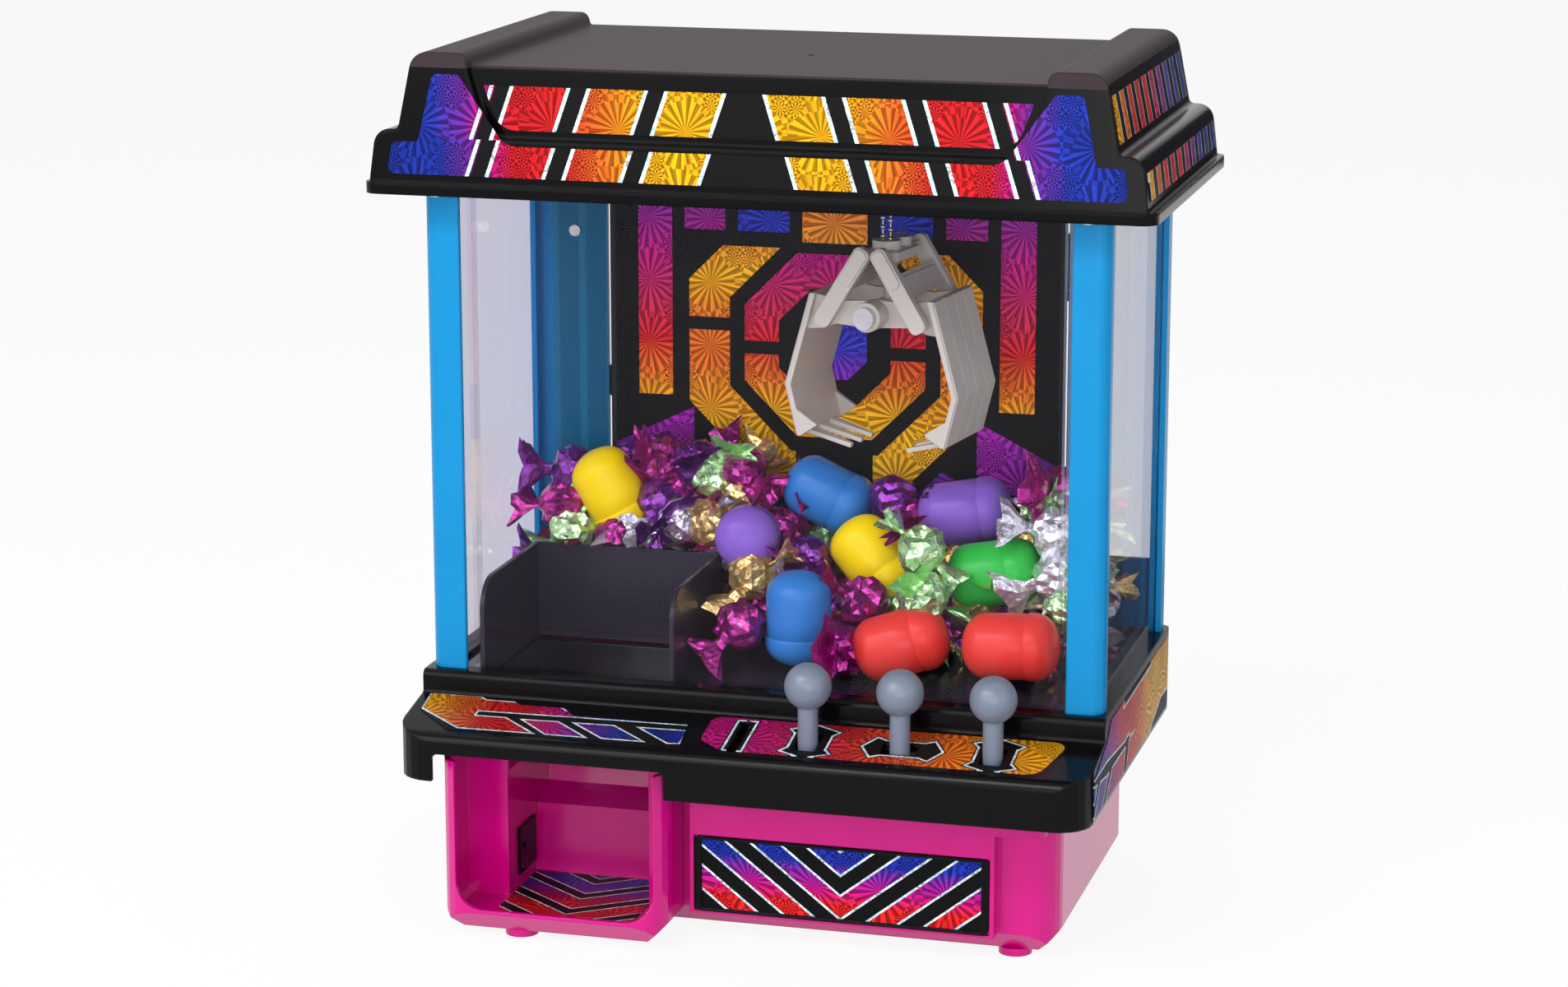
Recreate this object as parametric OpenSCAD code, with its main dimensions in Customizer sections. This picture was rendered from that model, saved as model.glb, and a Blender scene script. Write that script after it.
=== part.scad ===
// Tabletop claw crane machine, millimetres, Z up, X to the right, the player stands at -Y.
// The origin is the centre of the footprint, on the surface that the feet stand on.

/* [Cabinet] */
// Width of the whole machine, over the roof's rim
total_w = 339; // [328:1:350]
// Depth of the whole machine, from the deck's front edge to the roof's rear rim
total_d = 206.5; // [204:0.5:214]
// Clear height of the windows between deck and roof
window_h = 210; // [206:1:240]
// Moulded plastic wall
wall = 2.5; // [2:0.1:3]
// Clear window sheet
window_t = 2; // [1.5:0.1:2.4]
// Face width of a front pillar
pillar_w = 16; // [14:0.5:18]
// Depth of a front pillar's side
pillar_side = 10; // [8:0.5:12]
// Clearance between parts that slip together
fit_gap = 0.3; // [0.2:0.05:0.4]

/* [Base] */
// How far the tub's sides stand inside the pillars
base_in = 16.5; // [14:0.5:20]
// How far the tub's front wall stands ahead of the pillars
base_front = 10; // [8:0.5:12]
// How far the tub stands behind the pillars
base_rear = 2; // [1:0.5:5]
// Height of the feet under the tub
foot_h = 3.3; // [2:0.1:6]
// Diameter of a foot
foot_d = 14.4; // [10:0.2:18]
// Chamfer round the tub's bottom
chamfer = 9; // [4:0.5:9]
// Radius of the tub's upright corners
base_r = 15; // [10:1:18]
// Width of the prize tray's outside
tray_w = 101; // [96:0.5:104]
// Height of the tray's front lip over the tub's bottom
tray_lip = 10.5; // [9:0.5:16]
// Thickness of the tray's floor over the tub's bottom
tray_floor = 6.6; // [5:0.2:8]
// Width of the sticker panel on the boss
panel_w = 129.5; // [110:0.5:132]
// Height of the sticker panel
panel_h = 34; // [28:0.5:38]
// How far the boss stands out of the front wall
boss_out = 7.7; // [5:0.1:10]

/* [Deck] */
// Height of the deck's collar, where the windows stand
collar_z = 108; // [104:0.5:116]
// Height of the collar over the control shelf
collar_h = 10; // [8:0.5:12]
// How far the control shelf reaches ahead of the pillars
deck_reach = 44; // [40:0.5:50]
// Drop of the shelf from the collar to its front edge
shelf_drop = 7.5; // [5:0.5:9]
// Height of the skirt's bottom edge
skirt_z = 70; // [66:0.5:74]
// Side margin of the deck outside the pillars
deck_margin = 2.2; // [1:0.1:4]
// Width of the collar's ring
collar_w = 10; // [8:0.5:12]

/* [Joysticks] */
// First joystick's distance from the middle
stick_x = 27.8; // [24:0.1:30]
// Distance between joysticks
stick_pitch = 39.7; // [36:0.1:41]
// Diameter of the ball
ball_d = 20; // [16:0.5:22]
// Diameter of the stem
stem_d = 8.6; // [7:0.1:9]
// Height of the ball's centre over the pivot
stick_h = 35; // [32:0.5:40]
// Swing to each side in degrees
stick_swing = 12; // [8:1:14]

/* [Roof] */
// Overhang of the roof's rim at each side
roof_side = 21; // [18:0.5:26]
// Overhang of the rim in front of the pillars
roof_front = 16.5; // [14:0.5:20]
// Overhang of the rim behind the pillars
roof_rear = 14.5; // [10:0.5:18]
// Height of the upright rim
rim_h = 5; // [4:0.5:7]
// Height of the lower tier over the rim's underside
tier_h = 27.5; // [25:0.5:32]
// Height of the whole roof
roof_h = 60; // [58:0.5:66]
// Drop of the flat top between the side rails
top_drop = 5.6; // [3:0.2:7]
// Depth of the recess in the roof's front
recess = 5; // [3:0.5:6]

/* [Claw] */
// Claw's distance to the right of the middle, at rest
claw_x = 39; // [30:0.5:46]
// Claw's distance behind the middle, at rest
claw_y = 13; // [8:0.5:16]
// Height of the claw's bolt, at rest
bolt_z = 263.5; // [260:0.5:268]
// Turn of the hanging claw in degrees
claw_turn = 9; // [0:1:12]
// Width of a jaw along the bolt
jaw_w = 45; // [40:0.5:48]
// Sheet thickness of the jaws
jaw_t = 2.2; // [1.8:0.1:2.6]
// Diameter of the bolt
bolt_d = 5; // [4:0.1:6]
// Diameter of the link pins
link_pin_d = 3; // [2.4:0.1:3.4]
// Play of the loose link pins in their lower holes
link_play = 0.8; // [0.75:0.05:1]
// Diameter of a chain's balls
bead_d = 2.2; // [1.8:0.1:2.6]
// Distance between a chain's balls
bead_pitch = 4; // [3.4:0.1:4.4]

/* [Crane] */
// Width of the ceiling's slot for the crane
slot_w = 158; // [150:1:180]
// Depth of the ceiling's slot
slot_d = 66; // [60:1:72]
// Radius of the bridge's wheels
wheel_r = 5; // [4:0.2:6]
// Radius of the winding drum
drum_r = 6; // [5:0.2:7]

/* [Prizes] */
// Diameter of a prize capsule
capsule_d = 28; // [24:0.5:28]
// Length of a prize capsule
capsule_l = 40; // [34:0.5:40]
// Diameter of a wrapped sweet's core
sweet_d = 20; // [16:0.5:21]

/* [Hidden] */
$fn = 48;
e = 0.01;

// Planes of the cabinet
cab_w = total_w - 2 * roof_side;
cab_d = total_d - deck_reach - roof_rear;
front_y = deck_reach - total_d / 2;
back_y = front_y + cab_d;
deck_front = front_y - deck_reach;
collar_front = front_y - 5.5;
deck_rear = back_y + base_rear + wall + 1;
roof_z = collar_z + window_h;
half = cab_w / 2;
floor_z = collar_z - 2;
ledge_z = floor_z - wall;
plate_z = ledge_z - wall;
skin = 0.3;

// Base tub
tub_x = half - base_in;
tub_front = front_y - base_front;
tub_rear = back_y + base_rear;
tub_top = plate_z - 6.5;
tray_right = -tub_x + tray_w;
mouth = [-tub_x + 21, -tub_x + 85];
tray_floor_z = foot_h + tray_floor;
boss_y = tub_front - boss_out;
boss_x = [tray_right + 4.6, tub_x - 25];
panel_x = (boss_x[0] + boss_x[1]) / 2;
panel_z = foot_h + 10 + panel_h / 2;

// Deck
deck_x = half + deck_margin;
shelf_z = collar_z - collar_h;
shelf_front_z = shelf_z - shelf_drop;
shelf_tilt = atan(shelf_drop / (collar_front - deck_front));
arch_z = skirt_z + 12.2;
stick_y = deck_front + 19.5;
pivot_z = 84;
pivot_pin_d = 3;
slot_r = stem_d / 2 + 0.5;
slot_l = slot_r + (shelf_z - pivot_z) * tan(stick_swing) - 0.3;
coin_x = -2.2;
coin_y = [deck_front + 6.25, deck_front + 33.75];
coin_w = 3.4;
chute_z = [73, 67.5, 63.5, 47];

// Prize hole in the floor, and the hopper round it
hole_x = [-half + 22.5, -half + 104.5];
hole_y = [front_y + 9, front_y + 79];
hopper_x = [hole_x[0] - 2, hole_x[1] + 4];
hopper_y = [front_y + 5.5, hole_y[1] + 3];
hopper_h = 40.5;
hopper_t = 2;

// Rear of the base
rear_chamfer = 5.5;
drawer_x = [-25, 25];
drawer_z = [12, 44];
drawer_l = 62;
cells_x = [tub_x - 84, tub_x - 22];
cells_z = [12, 50];
cell_d = 14.4;
speaker_x = -tub_x + 42;
speaker_z = 62;
switch_x = speaker_x + 40;

// Windows and back
pane_x = half - wall - window_t - fit_gap;
pane_y = front_y + wall + fit_gap;
flange_y = back_y - 22;
flange_x = [half - 41.8, half - 15.5];
door_x = flange_x[0] - 1.2;
door_z = [collar_z + 0.5, roof_z - 2];
hinge_x = door_x - 3;
hinge_y = flange_y + wall + 4.5;
hinge_z = [collar_z + 24, roof_z - 54];

// Roof: each tier's outer face, heights and slopes
roof_x = half + roof_side;
rim_front = front_y - roof_front;
rim_back = back_y + roof_rear;
tier_x = roof_x - 3.5;
rail_x = roof_x - 16;
rail_in = roof_x - 45.5;
roof_top = roof_z + roof_h;
flat_top = roof_top - top_drop;
lean = 5.5;
ceiling_t = wall - 0.3;

// Crane
rail_y = [front_y + 11.5, back_y - 23];
rail_h = 5.6;
rail_w = 8;
rail_l = cab_w - 37;
rail_top = roof_z + wall + rail_h;
axle_z = rail_top + fit_gap + wheel_r;
beam_z = [rail_top + 1.8, rail_top + 7.8];
beam_x = 17;
beam_t = 3;
trolley_wheel_r = 4;
trolley_axle_z = beam_z[1] + fit_gap + trolley_wheel_r;
trolley_z = trolley_axle_z + trolley_wheel_r + 0.8;
drum_z = trolley_z + wall + 9;
bridge_axle_x = claw_x + beam_x + 7;
trolley_axle_y = claw_y + 15;
shaft_d = 3;
shaft_gap = 0.08;

// Claw, in its own frame: X across the jaws, Y along the bolt, Z up, zero at the bolt
hub_pin = [4.5, 25.4];
jaw_pin = [21.5, -2];
knee = [37.5, -33];
toe = [32, -55];
tine_tip = [11.5, -60.5];
jaw_in = jaw_w / 2 - 8;
arm_t = 2.5;
link_in = jaw_w / 2 - 2.1;
link_t = 4;
link_r = 3.8;
hub_top = 30.5;
chain_x = 1.8;
chain_y = -5;
chain_top = drum_z;

// ---------- shared shapes ----------

function unit(v) = v / norm(v);

// Points of one rounded corner: b is [x, y, radius] between its neighbours a and c
function arc_at(a, b, c, n) =
    let (p = [b[0], b[1]], u = unit([a[0], a[1]] - p), v = unit([c[0], c[1]] - p),
        half_angle = acos(u * v) / 2,
        reach = b[2] / tan(half_angle), mid = p + unit(u + v) * b[2] / sin(half_angle),
        from = p + u * reach - mid, to = p + v * reach - mid,
        a0 = atan2(from[1], from[0]), turn = atan2(to[1], to[0]) - a0,
        sweep = turn > 180 ? turn - 360 : turn < -180 ? turn + 360 : turn)
    [for (i = [0:n]) mid + b[2] * [cos(a0 + sweep * i / n), sin(a0 + sweep * i / n)]];

// Outline through points [x, y] or [x, y, radius]
function rounded(p, n = 6) =
    [for (i = [0:len(p) - 1])
        each (p[i][2] == undef || p[i][2] == 0) ? [[p[i][0], p[i][1]]]
            : arc_at(p[(i + len(p) - 1) % len(p)], p[i], p[(i + 1) % len(p)], n)];

function mirrored(p) = concat(p, [for (i = [len(p) - 1:-1:0]) [-p[i][0], p[i][1], p[i][2]]]);

function box_path(x, y, r) = [[x[0], y[0], r], [x[1], y[0], r], [x[1], y[1], r], [x[0], y[1], r]];

// Outline in the X-Z plane, swept along Y
module along_y(points, y) {
    translate([0, y[1], 0]) rotate([90, 0, 0]) linear_extrude(y[1] - y[0]) polygon(points);
}

// Outline in the Y-Z plane, swept along X
module along_x(points, x) {
    translate([x[0], 0, 0]) rotate([90, 0, 90]) linear_extrude(x[1] - x[0]) polygon(points);
}

// Outline in the X-Y plane, swept along Z
module along_z(points, z) {
    translate([0, 0, z[0]]) linear_extrude(z[1] - z[0]) polygon(points);
}

module block(x, y, z) {
    translate([x[0], y[0], z[0]]) cube([x[1] - x[0], y[1] - y[0], z[1] - z[0]]);
}

module rod_x(r, x, y, z) {
    translate([x[0], y, z]) rotate([0, 90, 0]) cylinder(r = r, h = x[1] - x[0]);
}

module rod_y(r, x, y, z) {
    translate([x, y[1], z]) rotate([90, 0, 0]) cylinder(r = r, h = y[1] - y[0]);
}

module rod_z(r, x, y, z) {
    translate([x, y, z[0]]) cylinder(r = r, h = z[1] - z[0]);
}

module each_side() {
    children();
    mirror([1, 0, 0]) children();
}

// ---------- base ----------

// Block with rounded upright corners and a chamfered bottom, shrunk by g on every side
module chamfered(x, y, z, r, g) {
    c = chamfer;
    intersection() {
        along_z(rounded(box_path([x[0] + g, x[1] - g], [y[0] + g, y[1] - g], max(r - g, 0.5))), z);
        along_y([[x[0] + g, z[1]], [x[0] + g, foot_h + c], [x[0] + c + g, foot_h], [x[1] - c - g, foot_h],
            [x[1] - g, foot_h + c], [x[1] - g, z[1]]], y);
        along_x([[y[0] + g, z[1]], [y[0] + g, foot_h + c], [y[0] + c + g, foot_h],
            [y[1] - rear_chamfer - g, foot_h], [y[1] - g, foot_h + rear_chamfer], [y[1] - g, z[1]]], x);
    }
}

module tub_outline(g, top) {
    chamfered([-tub_x, tub_x], [tub_front, tub_rear], [foot_h, top], base_r, g);
    chamfered([-tub_x, tray_right], [deck_front, tub_front + 60], [foot_h, top], base_r, g);
}

module base_tub() {
    tray_top = arch_z - wall - 1;
    color("mediumvioletred") {
        difference() {
            union() {
                difference() {
                    tub_outline(0, tub_top);
                    tub_outline(wall, tub_top + 1);
                    // open underside, closed by the base plate
                    block([-tub_x + chamfer + wall, tub_x - chamfer - wall],
                        [tub_front + chamfer + wall, tub_rear - rear_chamfer - wall],
                            [foot_h - 1, foot_h + wall]);
                }
                intersection() {
                    tub_outline(0.4, tub_top);
                    union() {
                        // wall between the prize tray and the machine's inside
                        block([-tub_x, mouth[0]], [tub_front, tub_front + wall], [foot_h, tub_top]);
                        block([mouth[1], tray_right], [tub_front, tub_front + wall], [foot_h, tub_top]);
                        block([mouth[0], mouth[1]], [tub_front, tub_front + wall], [78, tub_top]);
                        // tray floor
                        block([-tub_x, tray_right], [deck_front + wall, tub_front + wall],
                            [tray_floor_z - wall, tray_floor_z]);
                    }
                }
                boss();
            }
            // the tray's opening, low at the front
            along_y(rounded([[-tub_x + 8, tub_top + 1], [-tub_x + 8, foot_h + tray_lip, 12],
                [tray_right - 5, foot_h + tray_lip, 12], [tray_right - 5, tub_top + 1]]),
                [deck_front - 1, deck_front + base_r]);
            along_z([[-tub_x - 1, deck_front - 1], [tray_right + 1, deck_front - 1],
                [tray_right + 1, tub_front - 4],
                [-tub_x - 1, tub_front - 4]], [tray_top, tub_top + 1]);
            block([-tub_x + wall, tray_right + 1], [tub_front - 4, tub_front], [tray_top, tub_top + 1]);
            block([-tub_x - 1, tray_right + 1], [tub_front - 5, tub_front + 3],
                [shelf_front_z + 1, tub_top + 1]);
            // passage of the coin chute
            block([coin_x - coin_w / 2 - 2.6, coin_x + coin_w / 2 + 2.6],
                [boss_y - 1, tub_front + wall + 1],
                [chute_z[2] - 2.2, tub_top + 1]);
            // front edge lowered where the shelf slopes down
            block([tray_right, tub_x + 1], [deck_front, tub_front + wall + e],
                [shelf_front_z - wall - 1, tub_top + 1]);
            // pocket of the sticker panel
            block([panel_x - panel_w / 2, panel_x + panel_w / 2], [boss_y - 1, boss_y + 2],
                [panel_z - panel_h / 2, panel_z + panel_h / 2]);
            rear_openings();
        }
    }
}

// Raised face in front of the tub, with a ledge under the deck
module boss() {
    top = skirt_z + 5;
    block(boss_x, [boss_y, tub_front + 1], [panel_z - panel_h / 2 - 1, top]);
    along_z(rounded([[boss_x[1] - 1, boss_y], [tub_x - 4, boss_y, 7], [tub_x - 4, tub_front + 8],
        [boss_x[1] - 1, tub_front + 1]]), [skirt_z - 12.5, top]);
}

module rear_openings() {
    y = [tub_rear - wall - 1, tub_rear + 1];
    block([drawer_x[0], drawer_x[1]], y, drawer_z);
    block(cells_x, y, cells_z);
    rod_x(0.8 + shaft_gap, [cells_x[0] - 2, cells_x[1] + 2], tub_rear - wall / 2,
        cells_z[0] + fit_gap + wall / 2);
    for (i = [-2:2])
        along_y(rounded(box_path([speaker_x + i * 7 - 1.5, speaker_x + i * 7 + 1.5],
            [speaker_z - 16 + abs(i) * 3, speaker_z + 16 - abs(i) * 3], 1.4), 4), y);
    block([switch_x - 8, switch_x + 8], y, [speaker_z - 3, speaker_z + 3]);
}

module base_plate() {
    x = tub_x - chamfer - wall - fit_gap;
    y = [tub_front + chamfer + wall + fit_gap, tub_rear - rear_chamfer - wall - fit_gap];
    color("mediumvioletred") {
        block([-x, x], y, [foot_h, foot_h + wall]);
        // drawer runners
        each_side() {
            block([drawer_x[1] + 1.3, drawer_x[1] + 3.3], [tub_rear - drawer_l - 6, y[1] - 1],
                [foot_h + wall, drawer_z[1]]);
            block([drawer_x[1] - 6, drawer_x[1] + 3.3], [tub_rear - drawer_l - 6, y[1] - 1],
                [foot_h + wall, drawer_z[0]]);
        }
        // battery cradle
        block([cells_x[0] - 2, cells_x[1] + 2], [tub_rear - 54, tub_rear - 52],
            [foot_h + wall, cells_z[1]]);
        for (side = [cells_x[0] - 2, cells_x[1]])
            block([side, side + 2], [tub_rear - 52, tub_rear - rear_chamfer - 4],
                [foot_h + wall, cells_z[1]]);
        block(cells_x, [tub_rear - 52, tub_rear - rear_chamfer - 4], [foot_h + wall, cells_z[0] - fit_gap]);
        // speaker cradle
        block([speaker_x - 22, speaker_x + 22], [tub_rear - 16, tub_rear - 14],
            [foot_h + wall, speaker_z - 21]);
    }
}

foot_places = [[-99, deck_front + 16], [tub_x - 20, tub_front + 14], [-tub_x + 20, tub_rear - 14],
    [tub_x - 20, tub_rear - 14]];

module feet() {
    color("mediumvioletred") for (p = foot_places) rod_z(foot_d / 2, p[0], p[1], [0, foot_h]);
}

// Chute under the hopper: it narrows, then slopes forward onto the tray's floor
module prize_slide() {
    y0 = tub_front + wall + 0.2;
    y1 = hole_y[1];
    wide = [hole_x[0] - 0.5, hole_x[1] + 0.5];
    t = hopper_t;
    outer = [[wide[0] - t, plate_z], [wide[0] - t, plate_z - 8], [mouth[0] - t, 66],
        [mouth[0] - t, tray_floor_z - t],
        [mouth[1] + t, tray_floor_z - t], [mouth[1] + t, 66], [wide[1] + t, plate_z - 8],
            [wide[1] + t, plate_z]];
    inner = [[wide[0], plate_z + 1], [wide[0], plate_z - 8], [mouth[0], 66], [mouth[0], tray_floor_z],
        [mouth[1], tray_floor_z], [mouth[1], 66], [wide[1], plate_z - 8], [wide[1], plate_z + 1]];
    cut = [wide[0] - 4 * t, wide[1] + 4 * t];
    slope = [[y1, plate_z - 1], [y1, 84], [y1 - 30, 60], [y1 - 34, 46], [y1 - 49, 40],
        [y1 - 53, tray_floor_z]];
    color("mediumvioletred") difference() {
        along_y(outer, [y0, y1 + t]);
        intersection() {
            along_y(inner, [y0 - 1, y1 + t + 1]);
            along_x(concat([[y0 - 1, tray_floor_z - e], [y0 - 1, plate_z + 1], [y1, plate_z + 1]], slope),
                cut);
        }
        // hollow behind the slope
        along_x(concat([[y1 + t + 1, tray_floor_z - t - 1], [y1 + t + 1, 80]],
            [for (p = slope) if (p[1] < 80) [p[0] + t, p[1] - t * 0.4]],
                [[y1 - 53 + t, tray_floor_z - t - 1]]),
            cut);
        // room for the deck's front wall
        block(cut, [y0 - 1, collar_front + wall + 0.4], [shelf_front_z + 2, plate_z + 1]);
        block(cut, [y0 - 1, front_y + 4], [shelf_z - 3, plate_z + 1]);
    }
}

module sensor_plate() {
    color("black") {
        block([mouth[0], mouth[0] + 1.2], [front_y + 2, front_y + 24], [foot_h + 12, foot_h + 33]);
        rod_x(1.2, [mouth[0] + 1.2, mouth[0] + 2], front_y + 8, foot_h + 24);
    }
}

module tray_sticker() {
    color("indigo") block([mouth[0] + 1, mouth[1] - 1], [deck_front + 8, front_y + 24],
        [tray_floor_z, tray_floor_z + skin]);
}

module panel_frame() {
    m = [3.4, 1.6];
    color("black") difference() {
        along_y(rounded(box_path([panel_x - panel_w / 2 + fit_gap, panel_x + panel_w / 2 - fit_gap],
            [panel_z - panel_h / 2 + fit_gap, panel_z + panel_h / 2 - fit_gap], 2.5)),
                [boss_y - 0.6, boss_y + 2]);
        block([panel_x - panel_w / 2 + m[0], panel_x + panel_w / 2 - m[0]], [boss_y - 1, boss_y + 0.4],
            [panel_z - panel_h / 2 + m[1], panel_z + panel_h / 2 - m[1]]);
    }
}

module panel_sticker() {
    m = [3.6, 1.8];
    color("crimson") block([panel_x - panel_w / 2 + m[0], panel_x + panel_w / 2 - m[0]],
        [boss_y + 0.4 - skin, boss_y + 0.4],
        [panel_z - panel_h / 2 + m[1], panel_z + panel_h / 2 - m[1]]);
}

// ---------- deck ----------

function deck_side(g) = [[deck_front + g, skirt_z - (g > 0 ? 1 : 0)],
    [deck_front + g, shelf_front_z - g, max(5 - g, 1)], [collar_front + g, shelf_z - g, g > 0 ? 0 : 1.5],
    [collar_front + g, g > 0 ? plate_z : collar_z, g > 0 ? 0 : 3],
        [deck_rear - g, g > 0 ? plate_z : collar_z],
    [deck_rear - g, skirt_z - (g > 0 ? 1 : 0)]];

module deck() {
    inner_x = deck_x - collar_w;
    inner_y = [collar_front + collar_w, deck_rear - collar_w];
    color([0.06, 0.06, 0.07]) {
        difference() {
            intersection() {
                along_x(rounded(deck_side(0)), [-deck_x, deck_x]);
                along_z(rounded([[-deck_x, deck_front, 15], [deck_x, deck_front, 15],
                    [deck_x, deck_rear, 4],
                    [-deck_x, deck_rear, 4]]), [skirt_z - 1, collar_z + 1]);
            }
            intersection() {
                along_x(rounded(deck_side(wall)), [-deck_x + wall, deck_x - wall]);
                along_z(rounded([[-deck_x + wall, deck_front + wall, 12.5],
                    [deck_x - wall, deck_front + wall, 12.5],
                    [deck_x - wall, deck_rear - wall, 2], [-deck_x + wall, deck_rear - wall, 2]]),
                    [skirt_z - 2, collar_z + 2]);
            }
            // seat of the playfield floor, and the hole under it
            along_z(rounded(box_path([-inner_x, inner_x], inner_y, 3)), [ledge_z, collar_z + 1]);
            block([-inner_x + 8, inner_x - 8], [inner_y[0] + 3, inner_y[1] - 24],
                [plate_z - 1, ledge_z + 1]);
            // low arch over the prize tray
            along_y(rounded([[-tub_x - 1.5, skirt_z - 1], [-tub_x - 1.5, arch_z, 3],
                [tray_right + 1, arch_z, 3],
                [tray_right + 1, skirt_z - 1]]), [deck_front - 1, deck_front + wall + 1]);
            // joystick slots and the coin slot
            for (i = [0:2]) {
                w = i == 1 ? [slot_l, slot_r] : [slot_r, slot_l];
                block([stick_x + i * stick_pitch - w[0], stick_x + i * stick_pitch + w[0]],
                    [stick_y - w[1], stick_y + w[1]], [plate_z - 20, collar_z]);
            }
            along_z(rounded(box_path([coin_x - coin_w / 2, coin_x + coin_w / 2], coin_y, 1.5), 4),
                [plate_z - 20, collar_z]);
        }
        // rib that stands on the tub's walls
        difference() {
            along_z(rounded(box_path([-tub_x + fit_gap, tub_x - fit_gap],
                [tub_front + 6, tub_rear - fit_gap], 12)),
                [tub_top, plate_z + e]);
            along_z(rounded(box_path([-tub_x + 3, tub_x - 3], [tub_front + 9, tub_rear - 3], 9)),
                [tub_top - 1, plate_z + 1]);
            block([hopper_x[0] - 1.2, hopper_x[1] - 1], [tub_front, hopper_y[1]],
                [tub_top - 1, plate_z + 1]);
        }
    }
}

// Anything laid on the sloping shelf: outline in X-Y, a skin's thickness over the plastic
module on_shelf(points, t = skin) {
    intersection() {
        along_z(points, [shelf_front_z - 5, shelf_z + 5]);
        along_x([[deck_front, shelf_front_z], [collar_front, shelf_z], [collar_front, shelf_z + t],
            [deck_front, shelf_front_z + t]], [-deck_x, deck_x]);
    }
}

module control_sticker() {
    color("orangered") difference() {
        on_shelf(rounded([[-18, coin_y[1] + 2, 5], [deck_x - 14, coin_y[1] + 2, 5],
            [deck_x - 22, deck_front + 7, 8],
            [-7, deck_front + 7, 8], [-18, deck_front + 15, 5]]));
        for (i = [0:2]) {
            w = i == 1 ? [slot_l + 0.4, slot_r + 0.4] : [slot_r + 0.4, slot_l + 0.4];
            block([stick_x + i * stick_pitch - w[0], stick_x + i * stick_pitch + w[0]],
                [stick_y - w[1], stick_y + w[1]], [plate_z - 20, collar_z]);
        }
        along_z(rounded(box_path([coin_x - coin_w / 2 - 0.5, coin_x + coin_w / 2 + 0.5],
            [coin_y[0] - 0.5, coin_y[1] + 0.5], 1.5), 4), [plate_z - 20, collar_z]);
    }
}

module deck_sticker() {
    color("royalblue") on_shelf(rounded([[-deck_x + 4, collar_front - 1.5], [-110, collar_front - 1.5],
        [-104, collar_front - 6], [-84, collar_front - 6], [-78, collar_front - 12],
            [-27, collar_front - 12],
        [-25, deck_front + 6], [-deck_x + 22, deck_front + 6, 3], [-deck_x + 5, collar_front - 17, 3]]));
}

// Sloping stickers on the deck's two sides
module skirt_stickers() {
    color("goldenrod") each_side() along_x(rounded([[deck_front + 16, skirt_z + 2],
        [deck_front + 15, shelf_front_z - 2, 3],
        [collar_front + 4, shelf_z - 1], [collar_front + 14, collar_z - 3.5],
            [deck_rear - 6, collar_z - 3.5, 3],
        [deck_rear - 6, skirt_z + 2, 3]]), [deck_x, deck_x + skin]);
}

// Sloping channel that carries a token from the slot to the drawer
module coin_chute() {
    t = 1.5;
    w = coin_w / 2 + 0.4;
    y = [coin_y[0], boss_y, tub_front + wall + 2, tub_rear - drawer_l + 14];
    run = [for (i = [0:3]) [y[i], chute_z[i]]];
    top = [for (i = [3:-1:0]) [y[i] + (i == 3 ? t : 0), min(chute_z[i] + 26, shelf_front_z - wall - 1)]];
    color("dimgray") difference() {
        along_x(concat([[y[0] - t, chute_z[0] - t]],
            [for (i = [1:3]) [y[i] + (i == 3 ? t : 0), chute_z[i] - t]], top,
            [[y[0] - t, chute_z[0] + 14]]), [coin_x - w - t, coin_x + w + t]);
        along_x(concat(run, [[y[3], chute_z[3] + 24], [y[2], chute_z[2] + 24], [y[1], top[0][1] + 30],
            [y[0], top[0][1] + 30]]),
            [coin_x - w, coin_x + w]);
        along_x([[y[3] - 9, chute_z[3] - t - 1], [y[3], chute_z[3] - t - 1], [y[3], chute_z[3] + 4],
            [y[3] - 9, chute_z[3] + 4]],
            [coin_x - w, coin_x + w]);
    }
}

module coin_drawer() {
    x = [drawer_x[0] + fit_gap, drawer_x[1] - fit_gap];
    y = [tub_rear - drawer_l, tub_rear];
    z = [drawer_z[0] + fit_gap, drawer_z[1] - fit_gap];
    color("mediumvioletred") {
        difference() {
            block(x, [y[0], y[1] - 0.2], [z[0], z[1] - 3]);
            block([x[0] + 2, x[1] - 2], [y[0] + 2, y[1] - 3], [z[0] + 2, z[1]]);
        }
        block(x, [y[1] - wall, y[1]], z);
        along_y(rounded(box_path([-9, 9], [z[0] + 12, z[0] + 18], 2.5)), [y[1] - e, y[1] + 3]);
    }
}

// ---------- playfield and cabinet ----------

module playfield_floor() {
    x = deck_x - collar_w - fit_gap;
    y = [collar_front + collar_w + fit_gap, deck_rear - collar_w - fit_gap];
    color("gainsboro") difference() {
        along_z(rounded(box_path([-x, x], y, 2.7)), [ledge_z, floor_z]);
        block(hole_x, hole_y, [ledge_z - 1, floor_z + 1]);
    }
}

// Three walls round the prize hole, open to the front window and the top
module chute_hopper() {
    x = hopper_x;
    y = hopper_y;
    top = floor_z + hopper_h;
    color([0.08, 0.08, 0.1]) intersection() {
        difference() {
            block(x, y, [floor_z, top]);
            block([x[0] + hopper_t, x[1] - hopper_t], [y[0] - 1, y[1] - hopper_t], [floor_z - 1, top + 1]);
        }
        along_x(rounded([[y[0], floor_z], [y[0], top, 14], [y[1], top], [y[1], floor_z]]), [x[0], x[1]]);
    }
}

// Corner post: rounded angle with an inner return
module front_pillar() {
    x0 = half - pillar_w;
    color("deepskyblue") difference() {
        along_z(rounded([[x0, front_y, 1], [half, front_y, 6], [half, front_y + pillar_side, 1],
            [half - wall, front_y + pillar_side], [half - wall, front_y + wall, 3.5],
                [x0, front_y + wall]]),
            [collar_z, roof_z]);
    }
}

module pillar_front_left() {
    mirror([1, 0, 0]) front_pillar();
}

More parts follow.
